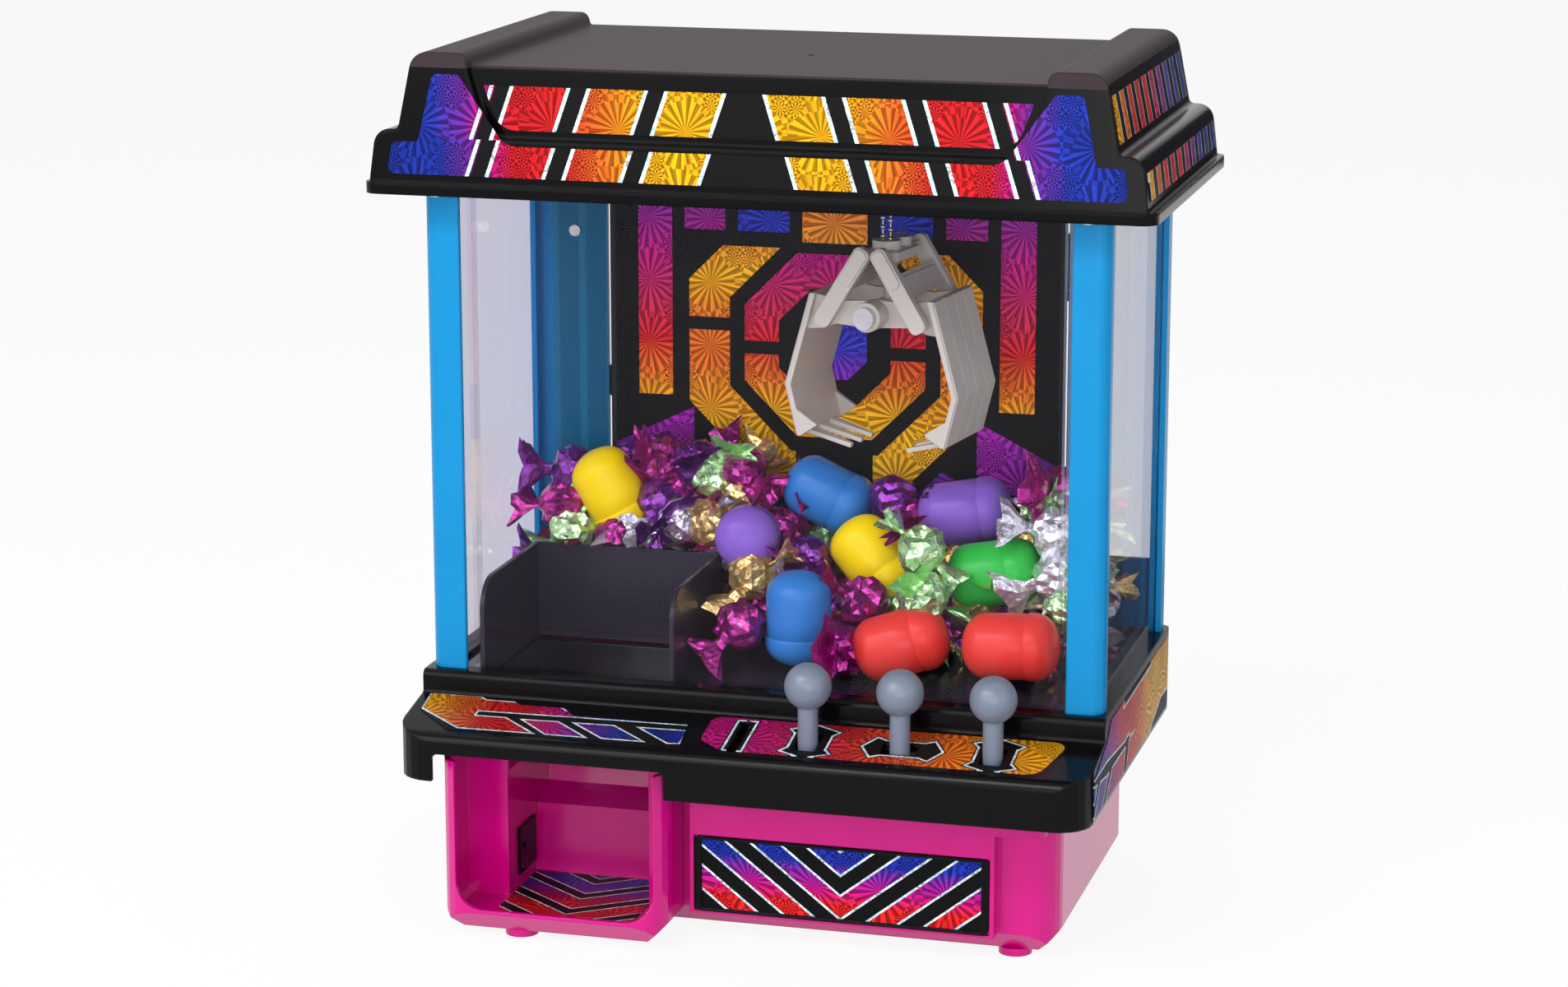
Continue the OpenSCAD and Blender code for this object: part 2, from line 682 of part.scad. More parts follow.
module pillar_front_right() {
    front_pillar();
}

module rear_pillar() {
    x = flange_x;
    color("steelblue") difference() {
        along_z([[half, back_y - 8], [half, back_y], [x[1] - wall, back_y], [x[1] - wall, flange_y + wall],
            [x[0], flange_y + wall], [x[0], flange_y], [x[1], flange_y], [x[1], back_y - wall],
            [half - wall, back_y - wall], [half - wall, back_y - 8]], [collar_z, roof_z]);
        for (z = [collar_z + 30, roof_z - 36])
            rod_y(1.6, (x[0] + x[1]) / 2 + 2, [flange_y - 1, flange_y + wall + 1], z);
    }
}

module pillar_rear_left() {
    mirror([1, 0, 0]) rear_pillar();
}

// This one also carries the rear door's hinge pins
module pillar_rear_right() {
    color("steelblue") {
        rear_pillar();
        for (z = hinge_z) {
            rod_z(1.5, hinge_x, hinge_y, [z - 5, z + 25]);
            for (k = [z - 5, z + 20.4]) {
                rod_z(3, hinge_x, hinge_y, [k, k + 4.6]);
                block([hinge_x, flange_x[0] + 4], [hinge_y - 2, hinge_y + 2], [k, k + 4.6]);
                block([flange_x[0] + 1, flange_x[0] + 4], [flange_y + wall - e, hinge_y + 2], [k, k + 4.6]);
            }
        }
    }
}

// Front sheet with its two side returns
module front_window() {
    x = half - pillar_w - 2;
    color([0.85, 0.9, 0.95, 0.35]) {
        block([-half + wall + 4, half - wall - 4], [pane_y, pane_y + window_t], [collar_z, roof_z]);
        each_side() block([x - window_t, x], [pane_y + window_t - e, pane_y + window_t + 7],
            [collar_z, roof_z]);
    }
}

module side_window() {
    color([0.85, 0.9, 0.95, 0.35]) block([pane_x, pane_x + window_t],
        [pane_y + window_t + fit_gap, back_y - wall - fit_gap], [collar_z, roof_z]);
}

module left_window() {
    mirror([1, 0, 0]) side_window();
}

module right_window() {
    side_window();
}

// Rear loading door: hinge barrels on its right edge, a pull and a steel catch plate on its left
module back_door() {
    y = [flange_y + 0.4, flange_y + wall + 0.4];
    mid = (door_z[0] + door_z[1]) / 2;
    color([0.07, 0.07, 0.08]) difference() {
        union() {
            block([-door_x, door_x], y, door_z);
            block([-door_x + 4, door_x - 12], [y[1] - e, y[1] + 1.5], [door_z[0] + 6, door_z[1] - 6]);
            for (z = hinge_z) {
                rod_z(3, hinge_x, hinge_y, [z, z + 20]);
                block([hinge_x - 3, hinge_x], [y[1] - e, hinge_y], [z, z + 20]);
            }
            block([-door_x - 9, -door_x + 12], [y[1] + 1.5 - e, y[1] + 3.3], [mid - 7, mid + 7]);
            along_z(rounded([[-door_x + 20, y[1]], [-door_x + 20, y[1] + 12, 3],
                [-door_x + 25, y[1] + 12, 2],
                [-door_x + 25, y[1]]], 4), [mid - 16, mid + 16]);
        }
        for (z = hinge_z) rod_z(1.5 + shaft_gap, hinge_x, hinge_y, [z - 1, z + 21]);
    }
}

module back_art() {
    color("darkorchid") block([-door_x + 2.5, door_x - 2.5], [flange_y + 0.4 - skin, flange_y + 0.4],
        [door_z[0] + 1, door_z[1] - 1]);
}

// Magnet on the left flange that holds the door's catch plate
module door_catch() {
    y = flange_y + wall;
    mid = (door_z[0] + door_z[1]) / 2;
    color("black") block([-door_x - 9, -door_x - 2.5], [y, y + 1.8], [mid - 7, mid + 7]);
}

// ---------- roof ----------

// Front view of the roof, grown by g
function roof_view(g) = mirrored([[0, flat_top + g], [rail_in - 1 - g, flat_top + g, 1],
    [rail_in + 0.5 - g, roof_top + g, 4], [rail_x - 6 + g, roof_top + g, 8],
        [rail_x + g, roof_z + tier_h + g, 2.5],
    [tier_x - 2.5 + g, roof_z + tier_h + g, 7], [tier_x + g, roof_z + rim_h + g, 0.8],
    [roof_x + g, roof_z + rim_h + g, 0.8], [roof_x + g, roof_z - (g < 0 ? 1 : 0)]]);

// Side view of the roof, grown by g
function roof_side_view(g) = [[rim_front - g, roof_z - (g < 0 ? 1 : 0)],
    [rim_front - g, roof_z + rim_h + g],
    [rim_front + 0.6 - g, roof_z + rim_h + g], [rim_front + lean - g, roof_top + g],
    [rim_back - 7.5 + g, roof_top + g], [rim_back - 3.5 + g, roof_z + rim_h + g],
    [rim_back + g, roof_z + rim_h + g], [rim_back + g, roof_z - (g < 0 ? 1 : 0)]];

module roof_solid(g) {
    intersection() {
        along_y(rounded(roof_view(g)), [rim_front - 1, rim_back + 1]);
        along_x(roof_side_view(g), [-roof_x - 1, roof_x + 1]);
        along_z(rounded(box_path([-roof_x - g, roof_x + g], [rim_front - g, rim_back + g], 7)),
            [roof_z - 2, roof_top + 1]);
    }
}

// Outline of the recess in the front, grown by g
function recess_view(g) = rounded(mirrored([[rail_in - 0.5 + g, roof_top + 20],
    [rail_in - 0.5 + g, roof_top - 6, 10],
    [rail_in - 10 + g, roof_z + 24.5 - g, 11]]));

// Front face at height h over the roof's underside
function face_y(h) = rim_front + 0.6 + (lean - 0.6) * (h - rim_h) / (roof_h - rim_h);

// Slab parallel to the leaning front face, between depths a and b behind it
module front_slab(a, b) {
    along_x([[face_y(rim_h) + a, roof_z + rim_h], [face_y(roof_h + 9) + a, roof_top + 9],
        [face_y(roof_h + 9) + b, roof_top + 9], [face_y(rim_h) + b, roof_z + rim_h]], [-roof_x, roof_x]);
}

post_x = half - 8.5;
screw_posts = [[-post_x, front_y - 7], [post_x, front_y - 7], [-post_x, back_y - 8], [post_x, back_y - 8],
    [0, front_y - 1], [0, back_y - 10]];

module roof_shell() {
    color([0.05, 0.05, 0.06]) {
        difference() {
            roof_solid(0);
            difference() {
                roof_solid(-wall);
                intersection() {
                    along_y(recess_view(wall), [rim_front, rim_back]);
                    front_slab(-1, recess + wall);
                }
            }
            intersection() {
                along_y(recess_view(0), [rim_front - 1, rim_back]);
                front_slab(-3, recess);
                block([-roof_x, roof_x], [rim_front - 1, rim_back], [roof_z, roof_top + 1]);
            }
            rod_z(1.5, 4.6, front_y + 66, [roof_z, roof_top + 1]);
        }
        // screw posts down to the ceiling
        for (p = screw_posts) difference() {
            rod_z(4, p[0], p[1], [roof_z + wall, (abs(p[0]) > 100 ? roof_top : flat_top) - wall + 0.5]);
            rod_z(1.2, p[0], p[1], [roof_z, roof_z + 14]);
        }
    }
}

module roof_ceiling() {
    g = wall + fit_gap;
    color([0.07, 0.07, 0.08]) difference() {
        along_z(rounded(box_path([-roof_x + g, roof_x - g], [rim_front + g, rim_back - g], 7)),
            [roof_z, roof_z + ceiling_t]);
        block([-slot_w / 2, slot_w / 2], [-slot_d / 2 + 7, slot_d / 2 + 7],
            [roof_z - 1, roof_z + wall + 1]);
        for (p = screw_posts) rod_z(1.7, p[0], p[1], [roof_z - 1, roof_z + wall + 1]);
    }
}

// Film on the roof's front: a frame part and a part in the recess
module roof_front_sticker() {
    m = 8;
    frame = rounded(mirrored([[0, roof_z + tier_h - 5.5], [rail_in - 18, roof_z + tier_h - 5.5, 10],
        [rail_in + 3, roof_top - 9, 3], [rail_x - 7 - m, roof_top - 9, 3],
            [rail_x - 1 - m, roof_z + tier_h - 5, 2],
        [tier_x - 2 - m, roof_z + tier_h - 5, 3], [tier_x - m, roof_z + rim_h + 4, 3]]));
    color("gold") {
        intersection() {
            along_y(frame, [rim_front - 2, rim_front + 20]);
            front_slab(-skin, 0);
        }
        intersection() {
            along_y(recess_view(-3.5), [rim_front - 2, rim_front + 20]);
            front_slab(recess - skin, recess);
            block([-roof_x, roof_x], [rim_front, rim_back], [roof_z, flat_top - 8]);
        }
    }
}

// Films on the two tiers at each side
module roof_side_stickers() {
    color("gold") difference() {
        intersection() {
            along_y(rounded(roof_view(skin)), [rim_front + 8, rim_back - 9]);
            union() {
                each_side() block([tier_x - 6, roof_x], [rim_front, rim_back],
                    [roof_z + rim_h + 4, roof_z + tier_h - 7]);
                each_side() block([rail_x - 8, tier_x - 8], [rim_front, rim_back],
                    [roof_z + tier_h + 4, roof_top - 9]);
            }
        }
        along_y(rounded(roof_view(0)), [rim_front - 1, rim_back + 1]);
    }
}

// ---------- crane ----------

module gantry_rails() {
    color("silver") for (y = rail_y) {
        block([-rail_l / 2, rail_l / 2], [y - rail_w / 2, y + rail_w / 2], [roof_z + ceiling_t, rail_top]);
        each_side() block([rail_l / 2 - 3, rail_l / 2], [y - rail_w / 2, y + rail_w / 2],
            [rail_top - e, rail_top + 8]);
    }
}

module bridge_frame() {
    x = claw_x;
    ends = [rail_y[0] - 5, rail_y[1] + 5];
    color("slategray") difference() {
        union() {
            for (s = [-beam_x, beam_x])
                block([x + s - beam_t / 2, x + s + beam_t / 2], ends, beam_z);
            for (y = rail_y) {
                block([x - beam_x - 10, x + beam_x + 12], [y - 5, y + 5], [beam_z[0], beam_z[1] - 1]);
                block([x - beam_x - 9, x - beam_x - 3], [y - 3, y + 3],
                    [rail_top + fit_gap, beam_z[0] + e]);
            }
        }
        // axle bores, and room for the wheels
        rod_y(shaft_d / 2 + shaft_gap, bridge_axle_x, [ends[0] - 1, ends[1] + 1], axle_z);
        for (y = rail_y) block([bridge_axle_x - wheel_r - 0.6, bridge_axle_x + wheel_r + 0.6],
            [y - 2.6, y + 2.6], [beam_z[0] - 1, beam_z[1] + 1]);
    }
}

// Axle with its two wheels
module bridge_axle() {
    color("gray") {
        rod_y(shaft_d / 2, bridge_axle_x, [rail_y[0] - 7, rail_y[1] + 7], axle_z);
        for (y = rail_y) rod_y(wheel_r, bridge_axle_x, [y - 2, y + 2], axle_z);
    }
}

module bridge_motor() {
    y = [rail_y[1] - 24, rail_y[1] - 5.2];
    color("darkgray") difference() {
        union() {
            block([claw_x + beam_x + beam_t / 2, bridge_axle_x + 6], y, [axle_z - 5, beam_z[1]]);
            rod_y(7, bridge_axle_x + 6, [y[0] - 12, y[0] + 1], axle_z + 8);
        }
        rod_y(shaft_d / 2 + shaft_gap, bridge_axle_x, [y[0] - 14, y[1] + 1], axle_z);
    }
}

module trolley_frame() {
    y = [claw_y - 20, claw_y + 20];
    x = [claw_x - 22, claw_x + 22];
    color("slategray") difference() {
        union() {
            block(x, y, [trolley_z, trolley_z + wall]);
            // glide feet and axle brackets over the beams
            for (s = [-1, 1]) {
                block([claw_x + s * beam_x - 1.2, claw_x + s * beam_x + 1.2], [claw_y - 17, claw_y - 11],
                    [beam_z[1] + fit_gap, trolley_z + e]);
                block([claw_x + s * 12 - 1.2, claw_x + s * 12 + 1.2],
                    [trolley_axle_y - 4, trolley_axle_y + 4],
                    [trolley_axle_z - 3, trolley_z + e]);
                block([claw_x + s * 11 - 1, claw_x + s * 11 + 1], [drum_y() - 4, drum_y() + 4],
                    [trolley_z + wall - e, drum_z + 3.5]);
            }
        }
        // chain slot and axle bores
        block([claw_x - 7, claw_x + 7], [claw_y - 12, claw_y + 4], [trolley_z - 1, trolley_z + wall + 1]);
        rod_x(shaft_d / 2 + shaft_gap, [x[0] - 1, x[1] + 1], trolley_axle_y, trolley_axle_z);
        rod_x(shaft_d / 2 + shaft_gap, [x[0] - 1, x[1] + 1], drum_y(), drum_z);
    }
}

module trolley_axle() {
    color("gray") {
        rod_x(shaft_d / 2, [claw_x - beam_x - 2, claw_x + beam_x + 2], trolley_axle_y, trolley_axle_z);
        for (s = [-beam_x, beam_x])
            rod_x(trolley_wheel_r, [claw_x + s - 1.6, claw_x + s + 1.6], trolley_axle_y, trolley_axle_z);
    }
}

module trolley_motor() {
    x = [claw_x - 9, claw_x + 9];
    color("darkgray") difference() {
        union() {
            block(x, [trolley_axle_y - 5, trolley_axle_y + 5], [trolley_axle_z - 5, trolley_z]);
        }
        rod_x(shaft_d / 2 + shaft_gap, [x[0] - 1, x[1] + 1], trolley_axle_y, trolley_axle_z);
    }
}

// The drum's axis lies so that the chains hang from its front
function drum_y() = claw_y + chain_y * cos(claw_turn) + drum_r + bead_d / 2 + 0.5;

module hoist_motor() {
    color("darkgray") difference() {
        union() {
            block([claw_x + 12.2, claw_x + 21.8], [drum_y() - 7, drum_y() + 9],
                [trolley_z + wall, drum_z + 6]);
            rod_x(6.5, [claw_x - 8, claw_x + 12.4], drum_y() + 16, trolley_z + wall + 6.5);
            block([claw_x + 12.2, claw_x + 21.8], [drum_y() + 8, drum_y() + 20],
                [trolley_z + wall, drum_z]);
        }
        rod_x(shaft_d / 2 + shaft_gap, [claw_x + 10, claw_x + 23], drum_y(), drum_z);
    }
}

// Axle, two winding spools and their flanges
module hoist_drum() {
    mid = claw_x + chain_y * sin(claw_turn);
    color("gray") {
        rod_x(shaft_d / 2, [claw_x - 14, claw_x + 18], drum_y(), drum_z);
        rod_x(drum_r, [mid - 6, mid + 6], drum_y(), drum_z);
        for (x = [mid - 6.8, mid - 0.4, mid + 6]) rod_x(drum_r + 2, [x, x + 0.8], drum_y(), drum_z);
    }
}

// Places children from the claw's own frame into the machine
module at_claw() {
    translate([claw_x, claw_y, bolt_z]) rotate([0, 0, -claw_turn]) children();
}

// Ball chain upwards from z[0] to z[1]
module ball_chain(x, y, z) {
    n = floor((z[1] - z[0]) / bead_pitch);
    union() {
        rod_z(0.35, x, y, [z[0], z[0] + n * bead_pitch], $fn = 16);
        for (i = [0:n]) translate([x, y, z[0] + i * bead_pitch]) sphere(d = bead_d, $fn = 24);
    }
}

module claw_hub() {
    color("darkgray") at_claw() difference() {
        union() {
            block([-8.3, 8.3], [-11, 13], [22.2, 26.2]);
            for (y = [chain_y, 7]) rod_z(6.2, 0, y, [22.2, hub_top]);
            for (s = [-1, 1]) rod_y(link_pin_d / 2, s * hub_pin[0],
                [-link_in - link_t + 1.4, link_in + link_t - 1.4],
                hub_pin[1]);
        }
        // the lift chain's seat and the grip chain's bore
        rod_z(bead_d / 2 + 0.2, -chain_x, chain_y, [hub_top - 4, hub_top + 1]);
        rod_z(bead_d / 2 + 0.5, chain_x, chain_y, [20, hub_top + 1]);
    }
}

module lift_chain() {
    color("silver") at_claw()
        ball_chain(-chain_x, chain_y, [hub_top - 2.6, chain_top - bolt_z]);
}

module grip_chain() {
    color("silver") at_claw()
        ball_chain(chain_x, chain_y, [12 - bead_d / 2, chain_top - bolt_z]);
}

// Bush between the jaws with a post for the grip chain
module grip_block() {
    color("darkgray") at_claw() difference() {
        union() {
            rod_y(5.6, 0, [-jaw_in + fit_gap, jaw_in - fit_gap], 0);
            rod_z(3, chain_x, chain_y, [2, 12]);
        }
        rod_y(bolt_d / 2 + 0.02, 0, [-jaw_in - 1, jaw_in + 1], 0);
        translate([chain_x, chain_y, 12 - bead_d / 2]) sphere(d = bead_d + 0.1, $fn = 24);
        rod_z(bead_d / 2 + 0.05, chain_x, chain_y, [12 - bead_d / 2, 13]);
    }
}

module claw_bolt() {
    color("silver") at_claw() {
        rod_y(bolt_d / 2, 0, [-28, jaw_w / 2 + 1.5], 0);
        rod_y(4.7, 0, [-31, -28 + e], 0);
        rod_y(4.2, 0, [jaw_w / 2 + 0.7, jaw_w / 2 + 3.7], 0);
    }
}

// Right-hand jaw; its two arms lie at distance "inner" from the middle
module jaw(inner) {
    t = jaw_t;
    back = [[26, 8], [knee[0], knee[1]], [toe[0], toe[1]], [toe[0] + t, toe[1] - 0.3],
        [knee[0] + t * 1.05, knee[1] - 0.2], [26 + t * 1.05, 8]];
    arm = rounded([[-4, 0.1, 3.9], [0, 6.2, 3], [14, 5.2], [26.4, 7.4], [30.5, -8], [24, -7.5, 2],
        [17, -5], [0, -6.2, 3]]);
    pitch = atan2(tine_tip[1] - toe[1], tine_tip[0] - toe[0]);
    reach = norm([tine_tip[0] - toe[0], tine_tip[1] - toe[1]]);
    difference() {
        union() {
            along_y(back, [-jaw_w / 2, jaw_w / 2]);
            for (s = [-1, 1]) {
                near = s > 0 ? inner : -inner - arm_t;
                along_y(arm, [near, near + arm_t]);
                rod_y(6.2, 0, [near, near + arm_t], 0);
                // stub pin for the link
                tip = link_in + link_t - 1.6;
                rod_y(link_pin_d / 2, jaw_pin[0], s > 0 ? [inner, tip] : [-tip, -inner], jaw_pin[1]);
                // pointed side fin
                side = s > 0 ? jaw_w / 2 - t : -jaw_w / 2;
                along_y([[knee[0] - 1.6, -43], [25, -50], [toe[0] + 0.5, toe[1]]], [side, side + t]);
            }
            // tines
            for (y = [-11.5, 0, 11.5]) translate([toe[0] + 1.6, y, toe[1] + 0.6]) rotate([0, -pitch, 0])
                translate([0, 0, -1]) linear_extrude(1.9)
                    polygon([[0, -3.2], [reach, -1.3], [reach, 1.3], [0, 3.2]]);
            // raised strips outside
            for (i = [-1.5:1:1.5]) along_y([[26 + t, 7.8], [knee[0] + t, knee[1]], [toe[0] + t, toe[1]],
                [toe[0] + t + 0.7, toe[1]], [knee[0] + t + 0.8, knee[1]], [26 + t + 0.8, 7.8]],
                [i * jaw_w / 4 - jaw_w / 8 + 0.7, i * jaw_w / 4 + jaw_w / 8 - 0.7]);
        }
        rod_y(bolt_d / 2 + shaft_gap, 0, [-jaw_w, jaw_w], 0);
    }
}

module jaw_right() {
    color("darkgray") at_claw() jaw(jaw_in);
}

module jaw_left() {
    color("darkgray") at_claw() difference() {
        union() {
            mirror([1, 0, 0]) jaw(jaw_in + arm_t + fit_gap);
            rod_y(6.4, 0, [-27.5, -jaw_in - 2 * arm_t - fit_gap + e], 0);
        }
        rod_y(bolt_d / 2 + shaft_gap, 0, [-jaw_w, jaw_w], 0);
    }
}

// Right-hand link: front and rear arms joined by a plate, lying along X from the hub's pin
module link() {
    run = [jaw_pin[0] - hub_pin[0], jaw_pin[1] - hub_pin[1]];
    l = norm(run);
    arm = rounded([[-link_r, -link_r, 2.8], [l + link_r + 0.4, -link_r, 3], [l + link_r + 0.4, link_r, 3],
        [-link_r, link_r, 2.8]], 5);
    raised = rounded(box_path([-link_r + 0.8, l * 0.46], [-link_r + 0.8, link_r - 0.8], 2.2), 4);
    translate([hub_pin[0], 0, hub_pin[1]]) rotate([0, -atan2(run[1], run[0]), 0]) difference() {
        union() {
            for (s = [-1, 1]) {
                y = s > 0 ? [link_in, link_in + link_t] : [-link_in - link_t, -link_in];
                along_y(arm, y);
                along_y(raised, s > 0 ? [y[1] - 1, y[1] + 0.8] : [y[0] - 0.8, y[0] + 1]);
            }
            block([l * 0.3, l * 0.66], [-link_in - 1, link_in + 1], [0.6, 2.6]);
            block([l * 0.36, l * 0.6], [-link_in + 2, link_in - 2], [0.2, 3.1]);
        }
        for (s = [-1, 1]) {
            y = s > 0 ? [link_in - 1, link_in + link_t - 1.2] : [-link_in - link_t + 1.2, -link_in + 1];
            rod_y(link_pin_d / 2 + shaft_gap, 0, y, 0);
            rod_y(link_pin_d / 2 + link_play, l, y, 0);
        }
    }
}

module link_right() {
    color("darkgray") at_claw() link();
}

module link_left() {
    color("darkgray") at_claw() mirror([1, 0, 0]) link();
}

// ---------- joysticks ----------

// Joystick whose cross pin lies along X, or along Y when sideways
module stick(i, sideways) {
    x = stick_x + i * stick_pitch;
    color("slategray") {
        translate([x, stick_y, pivot_z + stick_h]) sphere(d = ball_d);
        rod_z(stem_d / 2, x, stick_y, [pivot_z - 2, pivot_z + stick_h - 2]);
        rod_z(stem_d / 2 + 1, x, stick_y, [pivot_z - 4, pivot_z + 5]);
        rod_z(1.6, x, stick_y, [pivot_z - 14, pivot_z]);
        if (sideways) rod_y(pivot_pin_d / 2, x, [stick_y - 9, stick_y + 9], pivot_z);
        else rod_x(pivot_pin_d / 2, [x - 9, x + 9], stick_y, pivot_z);
    }
}

module stick_left() {
    stick(0, false);
}

module stick_middle() {
    stick(1, true);
}

module stick_right() {
    stick(2, false);
}

// Pivot cheeks that hang from the shelf
module stick_brackets() {
    color("black") for (i = [0:2]) {
        x = stick_x + i * stick_pitch;
        difference() {
            union() for (s = [-1, 1]) {
                if (i == 1) block([x - 5, x + 5],
                    s > 0 ? [stick_y + 6.5, stick_y + 8.5] : [stick_y - 8.5, stick_y - 6.5],
                    [pivot_z - 4, shelf_z]);
                else block(s > 0 ? [x + 6.5, x + 8.5] : [x - 8.5, x - 6.5], [stick_y - 5, stick_y + 5],
                    [pivot_z - 4, shelf_z]);
            }
            if (i == 1) rod_y(pivot_pin_d / 2 + shaft_gap, x, [stick_y - 12, stick_y + 12], pivot_z);
            else rod_x(pivot_pin_d / 2 + shaft_gap, [x - 12, x + 12], stick_y, pivot_z);
            along_x([[deck_front + wall, shelf_front_z - wall - 0.05],
                [collar_front + wall, shelf_z - wall - 0.05],
                [collar_front + wall, shelf_z + 9], [deck_front + wall, shelf_z + 9]], [-deck_x, deck_x]);
        }
    }
}

// ---------- electrics and trim ----------

module battery_door() {
    x = [cells_x[0] + fit_gap, cells_x[1] - fit_gap];
    z = [cells_z[0] + fit_gap, cells_z[1] - fit_gap];
    mid = (x[0] + x[1]) / 2;
    color("mediumvioletred") {
        block(x, [tub_rear - wall, tub_rear], [z[0] + wall / 2, z[1]]);
        rod_x(wall / 2, x, tub_rear - wall / 2, z[0] + wall / 2);
        rod_x(0.8, [x[0] - 2, x[1] + 2], tub_rear - wall / 2, z[0] + wall / 2);
        for (i = [-2:2]) block([mid + i * 6 - 1, mid + i * 6 + 1], [tub_rear - e, tub_rear + 0.6],
            [z[1] - 14, z[1] - 5]);
    }
}

module batteries() {
    color("darkgoldenrod") for (i = [0:3], k = [0:1]) {
        x = cells_x[0] + 8 + i * (cell_d + 0.6);
        z = cells_z[0] + cell_d / 2 + 0.2 + k * (cell_d + 0.6);
        rod_y(cell_d / 2, x, [tub_rear - 51, tub_rear - 9], z);
    }
}

module circuit_board() {
    color("darkgreen") {
        block([-20, 60], [-38, 12], [foot_h + wall + 6, foot_h + wall + 7.6]);
        for (p = [[-16, -34], [56, -34], [-16, 8], [56, 8]])
            rod_z(2.4, p[0], p[1], [foot_h + wall, foot_h + wall + 6.2]);
        for (p = [[0, -18], [24, -10], [40, -26]])
            block([p[0], p[0] + 12], [p[1], p[1] + 9], [foot_h + wall + 7.6 - e, foot_h + wall + 10]);
    }
}

module speaker() {
    y = tub_rear - wall;
    color("dimgray") {
        rod_y(20, speaker_x, [y - 4, y], speaker_z);
        rod_y(12, speaker_x, [y - 11.3, y - 4 + e], speaker_z);
    }
}

module power_switch() {
    y = tub_rear - wall;
    color("black") {
        block([switch_x - 4, switch_x + 4], [y + 0.2, tub_rear + 1.2], [speaker_z - 2.4, speaker_z + 2.4]);
        block([switch_x - 13, switch_x + 13], [y - 1.8, y - 0.4], [speaker_z - 6, speaker_z + 6]);
        block([switch_x - 2, switch_x + 2], [y - 0.5, y + 0.3], [speaker_z - 1.5, speaker_z + 1.5]);
    }
}

// One pan-head screw, head at the origin, shank towards -Z
module screw(length) {
    translate([0, 0, e]) cylinder(d = 5.2, h = 1.4);
    translate([0, 0, -length]) cylinder(d = 2.4, h = length + 2 * e);
}

module screws() {
    color("silver") {
        for (p = screw_posts) translate([p[0], p[1], roof_z]) rotate([180, 0, 0]) screw(12);
        for (z = [collar_z + 30, roof_z - 36], s = [-1, 1])
            translate([s * ((flange_x[0] + flange_x[1]) / 2 + 2), flange_y, z]) rotate([90, 0, 0])
                screw(wall + 2);
    }
}

// ---------- prizes ----------

// Each capsule's place (from the middle, ahead of the rear flanges, over the floor) and its turns
capsule_places = [
    [[-95.5, 28.25, 63.2], [0, 50, 20]],
    [[-25.9, 50.55, 50], [0, 84, 75]],
    [[3, 19.75, 64], [0, 112, -8]],
    [[29.6, 43.25, 41.6], [0, 135, -15]],
    [[68, 31.35, 63.1], [0, 80, 5]],
    [[87.5, 59.55, 43.4], [0, 80, 0]],
    [[6.8, 86.95, 24.8], [0, 0, 0]],
    [[53.7, 91.35, 17.9], [0, 72, 5]],
    [[102.9, 96.25, 21.3], [0, 88, 0]]
];
reach_y = flange_y - pane_y - window_t - capsule_d / 2 - 1;
capsules = [for (c = capsule_places) [[c[0][0], flange_y - min(c[0][1], reach_y), floor_z + c[0][2]],
    c[1]]];

module capsule() {
    r = capsule_d / 2;
    h = capsule_l / 2;
    seam = capsule_l * 0.18;
    rotate_extrude($fn = 40) polygon(concat([[0, -h]], arc_at([0, -h], [r, -h, 9.5], [r, 0], 5),
        [[r, seam - 0.4], [r - 0.4, seam], [r, seam + 0.4]], arc_at([r, 0], [r, h, 9.5], [0, h], 5),
            [[0, h]]));
}

module prize_capsules() {
    color("gold") for (c = capsules) translate(c[0]) rotate(c[1]) capsule();
}

// Sweets lie in staggered rows and layers, under a surface that rises to the back
twist = [6.5, 5];
sweet_pitch = [sweet_d + 2 * twist[0] - 1.3, sweet_d / 2 + twist[1] + 0.25, sweet_d / 2 + twist[1] + 0.25];

function heap_top(y) = floor_z + 30 + max(0, min(1, (y + 40) / 90)) * 44;

function capsule_axis(c) = [cos(c[1][2]) * sin(c[1][1]), sin(c[1][2]) * sin(c[1][1]), cos(c[1][1])];

// Gap between a ball at p and a capsule, whose ends are rounded
function capsule_gap(p, r, c) =
    let (a = capsule_axis(c), h = capsule_l / 2 - 10, d = p - c[0], t = max(-h, min(h, d * a)),
        over = max(0, abs(d * a) - h))
    norm(d - a * t) - r - (over > 0 ? 11.5 : capsule_d / 2);

function sweet_is_free(p) = min([for (c = capsules)
    min([capsule_gap(p, sweet_d / 2, c), for (s = [-1, 1])
        capsule_gap(p + [s * (sweet_d / 2 + twist[0] - 2.5), 0, 0],
        twist[1], c)])]) > 0.3;

function in_chute(p) =
    p[0] < hopper_x[1] + sweet_d / 2 + twist[0] && p[1] < hopper_y[1] + sweet_d / 2 + 0.3;

sweets = [for (k = [0:3], j = [0:6], i = [-5:5])
    let (p = [0.6 + (i + ((j + k) % 2) / 2) * sweet_pitch[0],
        flange_y - 1 - sweet_d / 2 - j * sweet_pitch[1], floor_z + sweet_d / 2 + 0.2 + k * sweet_pitch[2]])
    if (p[2] < heap_top(p[1]) && p[1] > pane_y + window_t + sweet_d / 2
        && abs(p[0]) < pane_x - sweet_d / 2 - twist[0]
        && !in_chute(p) && sweet_is_free(p) && [i, j, k] != [3, 2, 3]) p];

// Round core with a flared twist at each end, turned about its length
module sweet() {
    r = sweet_d / 2 / cos(10);
    end = sweet_d / 2 - 0.8 + twist[0];
    rotate([0, 90, 0]) rotate_extrude($fn = 24)
        polygon(concat([[0, -end], [twist[1], -end], [2, -sweet_d / 2]],
        [for (a = [20:20:160]) r * [sin(a), -cos(a)]], [[2, sweet_d / 2], [twist[1], end], [0, end]]));
}

module wrapped_sweets() {
    color("plum") for (p = sweets) translate(p) sweet();
}

